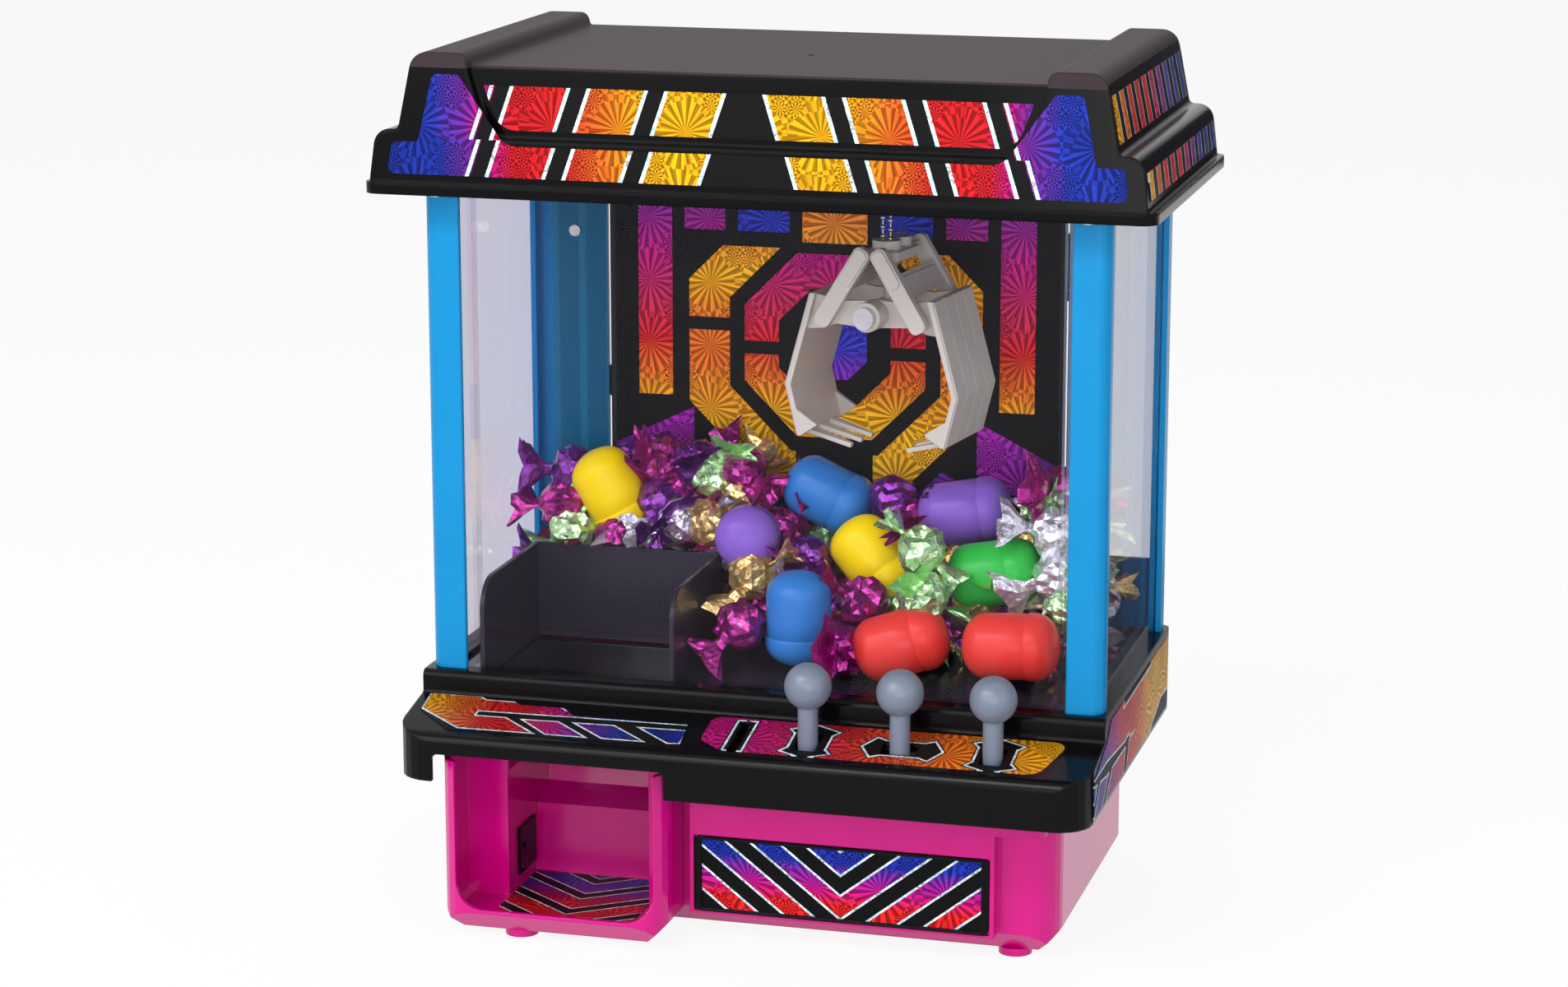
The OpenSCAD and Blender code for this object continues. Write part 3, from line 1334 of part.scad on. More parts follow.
base_tub();
base_plate();
feet();
prize_slide();
sensor_plate();
tray_sticker();
panel_frame();
panel_sticker();
deck();
control_sticker();
deck_sticker();
skirt_stickers();
coin_chute();
coin_drawer();
playfield_floor();
chute_hopper();
pillar_front_left();
pillar_front_right();
pillar_rear_left();
pillar_rear_right();
front_window();
left_window();
right_window();
back_door();
back_art();
door_catch();
roof_shell();
roof_ceiling();
roof_front_sticker();
roof_side_stickers();
gantry_rails();
bridge_frame();
bridge_motor();
bridge_axle();
trolley_frame();
trolley_motor();
trolley_axle();
hoist_motor();
hoist_drum();
claw_hub();
lift_chain();
grip_chain();
grip_block();
claw_bolt();
jaw_left();
jaw_right();
link_left();
link_right();
stick_left();
stick_middle();
stick_right();
stick_brackets();
battery_door();
batteries();
circuit_board();
speaker();
power_switch();
screws();
prize_capsules();
wrapped_sweets();
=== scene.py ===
"""Looks of the claw crane machine: plastics, embossed film, windows, crane, claw, prizes and stage."""

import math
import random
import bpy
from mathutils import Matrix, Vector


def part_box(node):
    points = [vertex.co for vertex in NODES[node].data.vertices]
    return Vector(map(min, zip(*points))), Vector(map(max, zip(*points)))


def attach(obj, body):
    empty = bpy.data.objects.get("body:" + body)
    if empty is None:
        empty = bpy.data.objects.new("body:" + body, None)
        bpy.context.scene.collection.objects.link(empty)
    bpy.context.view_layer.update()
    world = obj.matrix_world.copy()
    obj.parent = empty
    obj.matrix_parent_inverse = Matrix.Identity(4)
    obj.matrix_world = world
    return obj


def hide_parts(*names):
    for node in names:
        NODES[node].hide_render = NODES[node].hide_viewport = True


bl_info = {
    "name": "Claw Crane Machine",
    "version": (1, 0, 0),
    "blender": (4, 5, 0),
    "location": "View3D > Sidebar > Claw Machine",
    "description": "Finishes the packed claw crane machine and sets it on a studio floor",
    "category": "Add Mesh",
}

import bmesh
import bpy
from bpy.props import FloatProperty, FloatVectorProperty, PointerProperty
from mathutils import Matrix, Vector, noise

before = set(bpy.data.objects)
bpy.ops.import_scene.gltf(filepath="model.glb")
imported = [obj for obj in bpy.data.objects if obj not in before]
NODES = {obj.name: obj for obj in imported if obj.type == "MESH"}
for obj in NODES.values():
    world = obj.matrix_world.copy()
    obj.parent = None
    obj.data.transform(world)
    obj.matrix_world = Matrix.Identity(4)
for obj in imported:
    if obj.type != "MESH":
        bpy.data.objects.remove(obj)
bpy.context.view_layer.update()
MM = 0.001
CAMERA_PLACE = Vector((0.432, -1.6067, 0.5687))
CAMERA_TARGET = Vector((0.0108, -0.0594, 0.1953))


# ---------- colours ----------


def srgb(red, green, blue):
    """Colour given as 0-255 screen values, in the linear values that shaders take."""
    return tuple(
        v / 12.92 if v <= 0.04045 else ((v + 0.055) / 1.055) ** 2.4
        for v in (red / 255, green / 255, blue / 255)
    )


def shade(colour, factor):
    """The colour made lighter or darker."""
    return tuple(min(1.0, v * factor) for v in colour[:3])


BLACK = srgb(11, 10, 12)
GOLD = srgb(248, 180, 22)
ORANGE = srgb(240, 118, 34)
RED = srgb(222, 36, 38)
MAGENTA = srgb(196, 24, 128)
PURPLE = srgb(112, 40, 158)
BLUE = srgb(34, 54, 172)
NAVY = srgb(20, 44, 128)
# Silver of the printed outlines, with painted glints: the light, dark and rainbow tints that a hologram
# throws
EDGE_STOPS = [
    (0.0, srgb(226, 232, 236)),
    (0.4, srgb(246, 246, 244)),
    (0.5, srgb(104, 176, 204)),
    (0.58, srgb(240, 240, 232)),
    (0.7, srgb(96, 104, 120)),
    (0.8, srgb(238, 236, 226)),
    (1.0, srgb(222, 206, 140)),
]


def colour_prop(name, description, default):
    return FloatVectorProperty(
        name=name, description=description, subtype="COLOR", size=3, min=0, max=1, default=default
    )


def length_prop(name, description, default):
    return FloatProperty(name=name, description=description, default=default, unit="LENGTH")


def power_prop(name, description, default):
    return FloatProperty(name=name, description=description, default=default, unit="POWER")


class MachineColours(bpy.types.PropertyGroup):
    """Colours of the machine's plastics and prizes."""

    base: colour_prop("Base", "Glossy plastic of the base and its prize tray", srgb(192, 0, 120))
    black: colour_prop("Black parts", "Glossy plastic of deck and roof", srgb(7, 6, 8))
    pillar: colour_prop("Pillars", "Plastic of the four corner posts", srgb(0, 124, 180))
    claw: colour_prop("Claw", "Painted plastic of the claw", srgb(190, 185, 170))
    stick: colour_prop("Joysticks", "Satin plastic of stems and balls", srgb(100, 109, 126))
    window: colour_prop("Windows", "Tint of the clear sheets", srgb(250, 249, 253))


class PrizeSizes(bpy.types.PropertyGroup):
    """Sizes of the prizes."""

    capsule_radius: length_prop("Capsule radius", "Radius of a capsule's body", 0.0146)
    capsule_half: length_prop("Half length", "Half a capsule's length", 0.021)
    sweet_radius: length_prop("Sweet radius", "Radius of a wrapped sweet's core", 0.0112)
    fan_radius: length_prop("Twist radius", "Radius of a wrapper's flared end", 0.0118)


class StudioSettings(bpy.types.PropertyGroup):
    """Camera and lights."""

    lens: FloatProperty(
        name="Focal length",
        description="Camera's focal length in millimetres",
        default=89.76,
        min=20,
        max=300,
    )
    key: power_prop("Key light", "Power of the large front light", 19)
    front: power_prop("Front light", "Power of the low light that reaches into the cabinet", 15)
    edge: power_prop("Edge light", "Power of the thin strip that draws highlights along edges", 15)
    fill: power_prop("Fill light", "Power of the right-hand light", 5.5)
    rim: power_prop("Top light", "Power of the overhead light", 8)
    sky: FloatProperty(
        name="Room light", description="Strength of the room's even light", default=0.42, min=0, max=2
    )


# ---------- material patterns ----------


class Field:
    """A number that varies over a surface; sums and comparisons of it become math nodes."""

    def __init__(self, pattern, socket):
        self.pattern = pattern
        self.socket = socket

    def op(self, operation, *values):
        return self.pattern.math(operation, self, *values)

    def __add__(self, other):
        return self.op("ADD", other)

    def __sub__(self, other):
        return self.op("SUBTRACT", other)

    def __rsub__(self, other):
        return self.pattern.math("SUBTRACT", other, self)

    def __mul__(self, other):
        return self.op("MULTIPLY", other)

    def __truediv__(self, other):
        return self.op("DIVIDE", other)

    def __abs__(self):
        return self.op("ABSOLUTE")

    def __mod__(self, other):
        return self.op("FLOORED_MODULO", other)

    def __lt__(self, other):
        return self.op("LESS_THAN", other)

    def __gt__(self, other):
        return self.op("GREATER_THAN", other)

    def __and__(self, other):
        return self.op("MULTIPLY", other)

    def __or__(self, other):
        return self.op("MAXIMUM", other)

    def __invert__(self):
        return 1.0 - self

    __radd__ = __add__
    __rmul__ = __mul__


class Nodes:
    """An empty node tree and the ways to fill it."""

    def __init__(self, tree):
        self.tree = tree
        tree.nodes.clear()

    def add(self, kind, **settings):
        node = self.tree.nodes.new(kind)
        for key, value in settings.items():
            setattr(node, key, value)
        return node

    def link(self, source, target):
        self.tree.links.new(source, target)

    def put(self, socket, value):
        """Sets a socket to a number or colour, or links a field or another socket to it."""
        if isinstance(value, Field):
            self.link(value.socket, socket)
        elif isinstance(value, bpy.types.NodeSocket):
            self.link(value, socket)
        elif isinstance(value, tuple):
            socket.default_value = (*value[:3], 1.0) if len(socket.default_value) == 4 else value
        else:
            socket.default_value = value

    def math(self, operation, *values):
        node = self.add("ShaderNodeMath", operation=operation)
        for socket, value in zip(node.inputs, values):
            self.put(socket, value)
        return Field(self, node.outputs[0])

    def seen(self):
        """1 for rays that show a thing, straight, mirrored or through a window, and 0 for other rays."""
        ray = self.add("ShaderNodeLightPath")
        straight, mirrored, through = (
            Field(self, ray.outputs[f"Is {kind} Ray"]) for kind in ("Camera", "Glossy", "Transmission")
        )
        return straight | mirrored | through


class Pattern(Nodes):
    """One material's node tree. Its x, y and z are the surface's place in millimetres."""

    def __init__(self, name):
        self.material = bpy.data.materials.new(name)
        self.material.use_nodes = True
        super().__init__(self.material.node_tree)
        self.place = self.add("ShaderNodeTexCoord").outputs["Object"]
        parts = self.add("ShaderNodeSeparateXYZ")
        self.link(self.dim(self.place, 1 / MM), parts.inputs[0])
        self.x, self.y, self.z = (Field(self, s) for s in parts.outputs)

    def extreme(self, operation, fields):
        """The MINIMUM or MAXIMUM of several fields."""
        result = fields[0]
        for field in fields[1:]:
            result = result.op(operation, field)
        return result

    def steps(self, low, high, value):
        """0 below low, 1 above high and an even rise between."""
        node = self.add("ShaderNodeMapRange")
        for socket, part in zip(node.inputs, (value, low, high, 0.0, 1.0)):
            self.put(socket, part)
        return Field(self, node.outputs[0])

    def noise(self, scale, detail=2.0, rough=0.5):
        node = self.add("ShaderNodeTexNoise")
        self.link(self.place, node.inputs["Vector"])
        node.inputs["Scale"].default_value = scale
        node.inputs["Detail"].default_value = detail
        node.inputs["Roughness"].default_value = rough
        return Field(self, node.outputs[0])

    def chance(self, x, y, z=0.0):
        """A random number from 0 to 1 for each x, y, z."""
        join = self.add("ShaderNodeCombineXYZ")
        for socket, value in zip(join.inputs, (x, y, z)):
            self.put(socket, value)
        node = self.add("ShaderNodeTexWhiteNoise", noise_dimensions="3D")
        self.link(join.outputs[0], node.inputs["Vector"])
        return Field(self, node.outputs["Value"])

    def mix(self, factor, low, high):
        node = self.add("ShaderNodeMix", data_type="RGBA")
        for index, value in ((0, factor), (6, low), (7, high)):
            self.put(node.inputs[index], value)
        return node.outputs[2]

    def ramp(self, value, stops):
        node = self.add("ShaderNodeValToRGB")
        while len(node.color_ramp.elements) < len(stops):
            node.color_ramp.elements.new(0.5)
        for element, (position, colour) in zip(node.color_ramp.elements, stops):
            element.position = position
            element.color = (*colour[:3], 1.0)
        self.put(node.inputs[0], value)
        return node.outputs[0]

    def along(self, value, low, high, colours):
        """Colours spread evenly from low to high of a field."""
        last = len(colours) - 1
        return self.ramp((value - low) / (high - low), [(i / last, c) for i, c in enumerate(colours)])

    def placed(self, value, stops):
        """Colours at given places of a field, in millimetres."""
        low, high = stops[0][0], stops[-1][0]
        reach = high - low
        return self.ramp((value - low) / reach, [((at - low) / reach, c) for at, c in stops])

    def dim(self, colour, light):
        """A colour or place multiplied by a number."""
        node = self.add("ShaderNodeVectorMath", operation="SCALE")
        self.put(node.inputs[0], colour)
        self.put(node.inputs["Scale"], light)
        return node.outputs[0]

    def inside(self, points, u, v):
        """Depth inside a convex outline, in millimetres: above zero within it."""
        area = sum(a[0] * b[1] - b[0] * a[1] for a, b in zip(points, points[1:] + points[:1]))
        turn = 1 if area > 0 else -1
        sides = []
        for a, b in zip(points, points[1:] + points[:1]):
            reach = math.hypot(b[0] - a[0], b[1] - a[1])
            across, up = -(b[1] - a[1]) / reach * turn, (b[0] - a[0]) / reach * turn
            sides.append(u * across + v * up - (a[0] * across + a[1] * up))
        return self.extreme("MINIMUM", sides)

    def deepest(self, outlines, u, v):
        """Depth inside whichever of several convex outlines lies round a place, in millimetres."""
        return self.extreme("MAXIMUM", [self.inside(points, u, v) for points in outlines])

    def mottled(self, colour):
        """A moulding's faint mottling, and the colour it gives."""
        mottle = self.noise(60, 3)
        return mottle, self.mix(mottle, shade(colour, 0.93), shade(colour, 1.06))

    def normal(self, height=None, strength=0.2, reach=0.0003, edge=0.0):
        """Surface normal with a fine relief, and with edges softened over the given radius."""
        source = None
        if edge:
            node = self.add("ShaderNodeBevel", samples=4)
            node.inputs["Radius"].default_value = edge
            source = node.outputs[0]
        if height is not None:
            bump = self.add("ShaderNodeBump")
            bump.inputs["Strength"].default_value = strength
            bump.inputs["Distance"].default_value = reach
            self.put(bump.inputs["Height"], height)
            if source:
                self.link(source, bump.inputs["Normal"])
            source = bump.outputs[0]
        return source

    def finish(self, colour, roughness=0.4, normal=None, **settings):
        shader = self.add("ShaderNodeBsdfPrincipled")
        self.put(shader.inputs["Base Color"], colour)
        self.put(shader.inputs["Roughness"], roughness)
        for key, value in settings.items():
            self.put(shader.inputs[key.replace("_", " ").title().replace("Ior", "IOR")], value)
        if normal:
            self.link(normal, shader.inputs["Normal"])
        return self.output(shader)

    def blend(self, factor, first, second):
        """Finishes the material with a blend of two shaders."""
        shader = self.add("ShaderNodeMixShader")
        for socket, value in zip(shader.inputs, (factor, first.outputs[0], second.outputs[0])):
            self.put(socket, value)
        return self.output(shader)

    def output(self, shader):
        end = self.add("ShaderNodeOutputMaterial")
        self.link(shader.outputs[0], end.inputs["Surface"])
        return self.material


def plastic(name, colour, roughness=0.25, grain=0.12, edge=0.0, **settings):
    """Moulded plastic: faint mottling, flow lines in the gloss and a fine grain."""
    p = Pattern(name)
    mottle, tone = p.mottled(colour)
    fine = p.noise(1400, 2)
    gloss = mottle * 0.06 + (roughness - 0.03) + fine * 0.02
    relief = p.normal(fine * 0.35 + mottle * 0.65, grain, 0.0002, edge)
    return p.finish(tone, gloss, relief, **settings)


def metal(name, colour, roughness=0.3):
    """Plated or turned metal with faint smears."""
    p = Pattern(name)
    smear = p.noise(240, 3)
    tone = p.mix(smear, shade(colour, 0.82), shade(colour, 1.08))
    relief = p.normal(p.noise(1800, 2), 0.15, 0.0001)
    return p.finish(tone, smear * 0.16 + (roughness - 0.08), relief, metallic=1.0)


def starbursts(p, u, v, pitch=29.0):
    """Light of an embossed film: a large burst at each corner of a square net and small ones between."""

    def rays(across, up, count):
        """The number of the ray round a burst's middle, and a wave from 0 to 1 over it"""
        turn = p.math("ARCTAN2", up, across) * (count / math.tau) + 0.25
        return turn.op("FLOOR"), abs((turn % 1.0) - 0.5) * 2.0

    def radius(across, up):
        return p.math("SQRT", across * across + up * up)

    column, row = (u / pitch).op("ROUND"), (v / pitch).op("ROUND")
    across, up = u / pitch - column, v / pitch - row
    reach = radius(across, up)
    index, wave = rays(across, up, 18)
    luck = p.chance(index, column * 3.1, row * 5.3)
    flip = reach > luck * 0.2 + 0.34
    lit = p.steps(0.46, 0.54, abs(wave - flip))
    thin = abs((p.math("ARCTAN2", up, across) * (45 / math.tau)) % 1.0 - 0.5) > 0.36
    large = lit * (luck * 0.42 + 0.4) + thin * 0.2 + wave * 0.1 + 0.3 + reach * 0.1

    between, above = (u / pitch) % 1.0 - 0.5, (v / pitch) % 1.0 - 0.5
    across, up = (between * 4.0) % 1.0 - 0.5, (above * 4.0) % 1.0 - 0.5
    index, wave = rays(across, up, 10)
    luck = p.chance(index, (u / pitch * 4.0).op("FLOOR"), (v / pitch * 4.0).op("FLOOR"))
    lit = p.steps(0.44, 0.56, abs(wave - (radius(across, up) > 0.42)))
    small = lit * (luck * 0.4 + 0.52) + 0.28
    cluster = abs(between).op("MAXIMUM", abs(above)) < 0.25
    star = (abs(between) + abs(above)) < 0.36
    return (cluster & star) * (small - large) + large


def film(name, plane, colour, ink, edge=None, level=0.8, metallic=0.3):
    """Printed holographic film: coloured starbursts, black print and silvery outlines. The plane names
    the two axes that the bursts lie along. Colour, ink and edge are functions of the pattern, and ink
    and edge give 1 where black or silver lies."""
    p = Pattern(name)
    light = starbursts(p, *(getattr(p, axis) for axis in plane))
    surface = p.dim(colour(p), light * level)
    if edge:
        # Printed silver outlines with painted glints
        outline = p.ramp(p.noise(170, 4, rough=0.7) * 1.6 - 0.3, EDGE_STOPS)
        surface = p.mix(edge(p), surface, outline)
    black = ink(p)
    surface = p.mix(black, surface, BLACK)
    fine = p.noise(900, 2)
    relief = p.normal((light + fine * 0.05) * ~black, 0.18, 0.0002)
    roughness = fine * 0.06 + 0.26 + black * 0.06
    return p.finish(surface, roughness, relief, metallic=~black * metallic, specular_ior_level=0.07)


def dress(node, material):
    """Gives a CAD node its material."""
    slots = NODES[node].data.materials
    slots.clear()
    slots.append(material)


def dress_all(groups):
    """Gives each material to the CAD nodes named beside it."""
    for material, names in groups.items():
        for name in names.split():
            dress(name, material)


# ---------- new pieces ----------


def piece(name, bm, material, body, slot, *replaced, flat=False):
    """Turns a bmesh into a piece that rides on a body."""
    mesh = bpy.data.meshes.new(name)
    for face in bm.faces:
        face.smooth = not flat
    bm.to_mesh(mesh)
    bm.free()
    thing = bpy.data.objects.new(name, mesh)
    bpy.context.scene.collection.objects.link(thing)
    mesh.materials.append(material)
    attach(thing, body)
    if replaced:
        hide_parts(*replaced)
    return thing


def turned(tilt, turn, size=4):
    """Tilts about Y and then turns about Z, in degrees."""
    lean = Matrix.Rotation(math.radians(tilt), size, "Y")
    return Matrix.Rotation(math.radians(turn), size, "Z") @ lean


def lathe(bm, points, steps, place=Matrix()):
    """Spins an outline of (radius, height) round Z, merges its poles and puts it in place."""
    verts = [bm.verts.new((r, 0, z)) for r, z in points]
    edges = [bm.edges.new(pair) for pair in zip(verts, verts[1:])]
    before = set(bm.verts) - set(verts)
    bmesh.ops.spin(
        bm,
        geom=verts + edges,
        cent=(0, 0, 0),
        axis=(0, 0, 1),
        angle=math.tau,
        steps=steps,
        use_merge=True,
    )
    fresh = [v for v in bm.verts if v not in before]
    bmesh.ops.remove_doubles(bm, verts=fresh, dist=1e-6)
    fresh = [v for v in bm.verts if v not in before]
    faces = dict.fromkeys(f for v in fresh for f in v.link_faces)
    bmesh.ops.recalc_face_normals(bm, faces=list(faces))
    bmesh.ops.transform(bm, matrix=place, verts=fresh)
    return fresh


def islands(node):
    """Centres of a CAD node's separate solids."""
    bm = bmesh.new()
    bm.from_mesh(NODES[node].data)
    bmesh.ops.remove_doubles(bm, verts=bm.verts, dist=1e-6)
    seen, centres = set(), []
    for start in bm.verts:
        if start in seen:
            continue
        group, queue = [], [start]
        seen.add(start)
        while queue:
            vert = queue.pop()
            group.append(vert.co.copy())
            for link in vert.link_edges:
                other = link.other_vert(vert)
                if other not in seen:
                    seen.add(other)
                    queue.append(other)
        low = [min(c[i] for c in group) for i in range(3)]
        high = [max(c[i] for c in group) for i in range(3)]
        centres.append(Vector([(a + b) / 2 for a, b in zip(low, high)]))
    bm.free()
    return sorted(centres, key=lambda c: (round(c.z, 4), round(c.y, 4), round(c.x, 4)))


# ---------- operators ----------


class MACHINE_OT_plastics(bpy.types.Operator):
    """Give the moulded parts their plastics"""

    bl_idname = "machine.plastics"
    bl_label = "Moulded parts"

    def darkened_plastic(self, name, colour, darkening):
        """Glossy plastic turned dark navy where a mask is 1: on the tub this is painted shade under the
        deck, on the slide it is its top in the drop shaft
        """
        p = Pattern(name)
        mottle, tone = p.mottled(colour)
        # Dark navy where the mask is 1: painted shade on the tub
        tone = p.mix(darkening(p), tone, srgb(24, 23, 32))
        relief = p.normal(p.noise(1400), 0.06, 0.0002, 0.0008)
        return p.finish(tone, mottle * 0.06 + 0.14, relief, specular_ior_level=0.34)

    def shaded(self, name, colour):
        """Post plastic with painted shade on the faces inside the cabinet: a darker teal in faint vertical
        bands of painted light and shade
        """
        p = Pattern(name)
        mottle, tone = p.mottled(colour)
        # Painted shade: inside faces turn a darker teal, striped with lighter and darker bands
        inner = (p.y < 72.0) & (abs(p.x) < 142.0)
        stripe = p.x % 13.0 > 9.5
        tone = p.mix(inner, tone, p.mix(stripe, srgb(0, 84, 116), srgb(16, 100, 132)))
        relief = p.normal(p.noise(1400), 0.1, 0.0002, 0.0008)
        return p.finish(tone, mottle * 0.06 + 0.26, relief, specular_ior_level=0.2)

    def roof(self, name, colour):
        """Glossy rims round a satin top; the top's lighter warm grey is painted sheen"""
        p = Pattern(name)
        # Painted sheen: the flat top gets a lighter warm grey than the rims, with a real satin roughness
        top = (p.z > 371.6) & (abs(p.x) < 148.0)
        fine = p.noise(1200, 2)
        tone = p.mix(top, colour, srgb(50, 41, 46))
        rough = top * 0.4 + fine * 0.03 + 0.13
        return p.finish(tone, rough, p.normal(fine, 0.05, 0.0002, 0.0022), specular_ior_level=0.09)

    def execute(self, context):
        colours = context.scene.machine_colours
        tub, dark, post = tuple(colours.base), tuple(colours.black), tuple(colours.pillar)
        base = plastic("magenta_gloss", tub, 0.16, 0.06, edge=0.0008, specular_ior_level=0.34)
        black = plastic("black_gloss", dark, 0.13, 0.03, edge=0.0016, specular_ior_level=0.11)
        satin = plastic("black_satin", srgb(18, 17, 19), 0.55, 0.02, specular_ior_level=0.2)
        pillar = plastic("pillar_blue", post, 0.28, edge=0.0008, specular_ior_level=0.2)
        hopper = plastic("hopper_black", srgb(44, 40, 52), 0.2, 0.05, edge=0.0008, specular_ior_level=0.2)
        # Painted shade: the tub turns dark navy above 80 mm right of the chute, where it lies in the deck's
        # shadow
        tray = self.darkened_plastic("tub_plastic", tub, lambda p: (p.z > 80.0) & (p.x > -28.0))
        # The slide turns dark navy above 79 mm, where it lies in the drop shaft
        slide = self.darkened_plastic("slide_plastic", tub, lambda p: p.z > 79.0)
        groups = {
            base: "base_plate feet coin_drawer battery_door",
            tray: "base_tub",
            slide: "prize_slide",
            self.roof("roof_black", dark): "roof_shell",
            black: "deck panel_frame sensor_plate power_switch",
            satin: "back_door roof_ceiling coin_chute door_catch",
            pillar: "pillar_front_left pillar_front_right",
            self.shaded("rear_pillar_blue", post): "pillar_rear_left pillar_rear_right",
            plastic("stick_grey", tuple(colours.stick), 0.34, 0.1): "stick_left stick_middle stick_right",
            hopper: "chute_hopper",
            plastic("floor_dark", srgb(46, 42, 50), 0.1, 0.04): "playfield_floor",
            plastic("bracket_grey", srgb(70, 70, 76), 0.5): "stick_brackets",
        }
        dress_all(groups)
        return {"FINISHED"}


# Bands of the deck's left film, as convex outlines of (x, y) in millimetres
DECK_BANDS = [
    [(-146.7, -65.6), (-123.7, -65.6), (-120, -68.2), (-120, -95.6), (-124.2, -95.7), (-146.3, -80.3)],
    [(-123, -68.2), (-88.2, -68.2), (-82.5, -72.2), (-82.5, -78.6), (-123, -79.4)],
    [(-87, -72.2), (-25.2, -72.2), (-25.2, -77.8), (-87, -78.6)],
    [(-124, -82.7), (-106.4, -82.6), (-89, -95.4), (-124, -95.6)],
    [(-100.2, -83.2), (-82.7, -82.6), (-65.5, -95.3), (-84.9, -95.4)],
    [(-77.1, -82.6), (-57.7, -82.2), (-39.9, -95.0), (-59.8, -95.0)],
    [(-48.3, -82.1), (-25.2, -81.7), (-25.2, -94.2), (-30.8, -94.9)],
]
DECK_LINE = 0.8

# Black zigzag of the deck's sides, as convex outlines of (y, z) in millimetres
SKIRT_PRINT = [
    [(-106, 92.2), (-60, 88.6), (28, 90.0), (20, 86.4), (-12, 83.2), (-60, 83.2), (-106, 88.2)],
    [(-95, 70), (-90, 70), (-74, 86), (-80, 86)],
    [(-72, 70), (-66, 70), (-44, 86), (-51, 86)],
    [(-21, 70), (-15, 70), (-8, 86), (-16, 86)],
    [(-18, 109), (-22.3, 102.2), (42.9, 103.4), (48, 109)],
    [(31.7, 80.6), (29, 68), (96, 68), (96, 88), (70.4, 80.2)],
]


def control_print():
    """Black print of the control film: coin slot, and an arrowed plate round each joystick"""
    shapes = [[(-6.8, -96.8), (2.6, -96.8), (2.6, -69.0), (-6.8, -69.0)]]
    y = -83.2
    for x in (28.6, 108.0):
        for s in (-1, 1):
            arrow = [(-11.6, 10), (0, 15.2), (11.6, 10), (8.7, 6), (-8.7, 6)]
            shapes.append([(x + across, y + s * up) for across, up in arrow])
        shapes.append([(x - 8.7, -94), (x + 8.7, -94), (x + 8.7, -72.5), (x - 8.7, -72.5)])
    x, y = 68.6, -83.6
    for s in (-1, 1):
        arrow = [(12.6, 9.4), (18.0, 0), (12.6, -9.4), (8, -7), (8, 7)]
        shapes.append([(x + s * across, y + up) for across, up in arrow])
    shapes.append([(56.5, -90.6), (80.7, -90.6), (80.7, -76.6), (56.5, -76.6)])
    return shapes


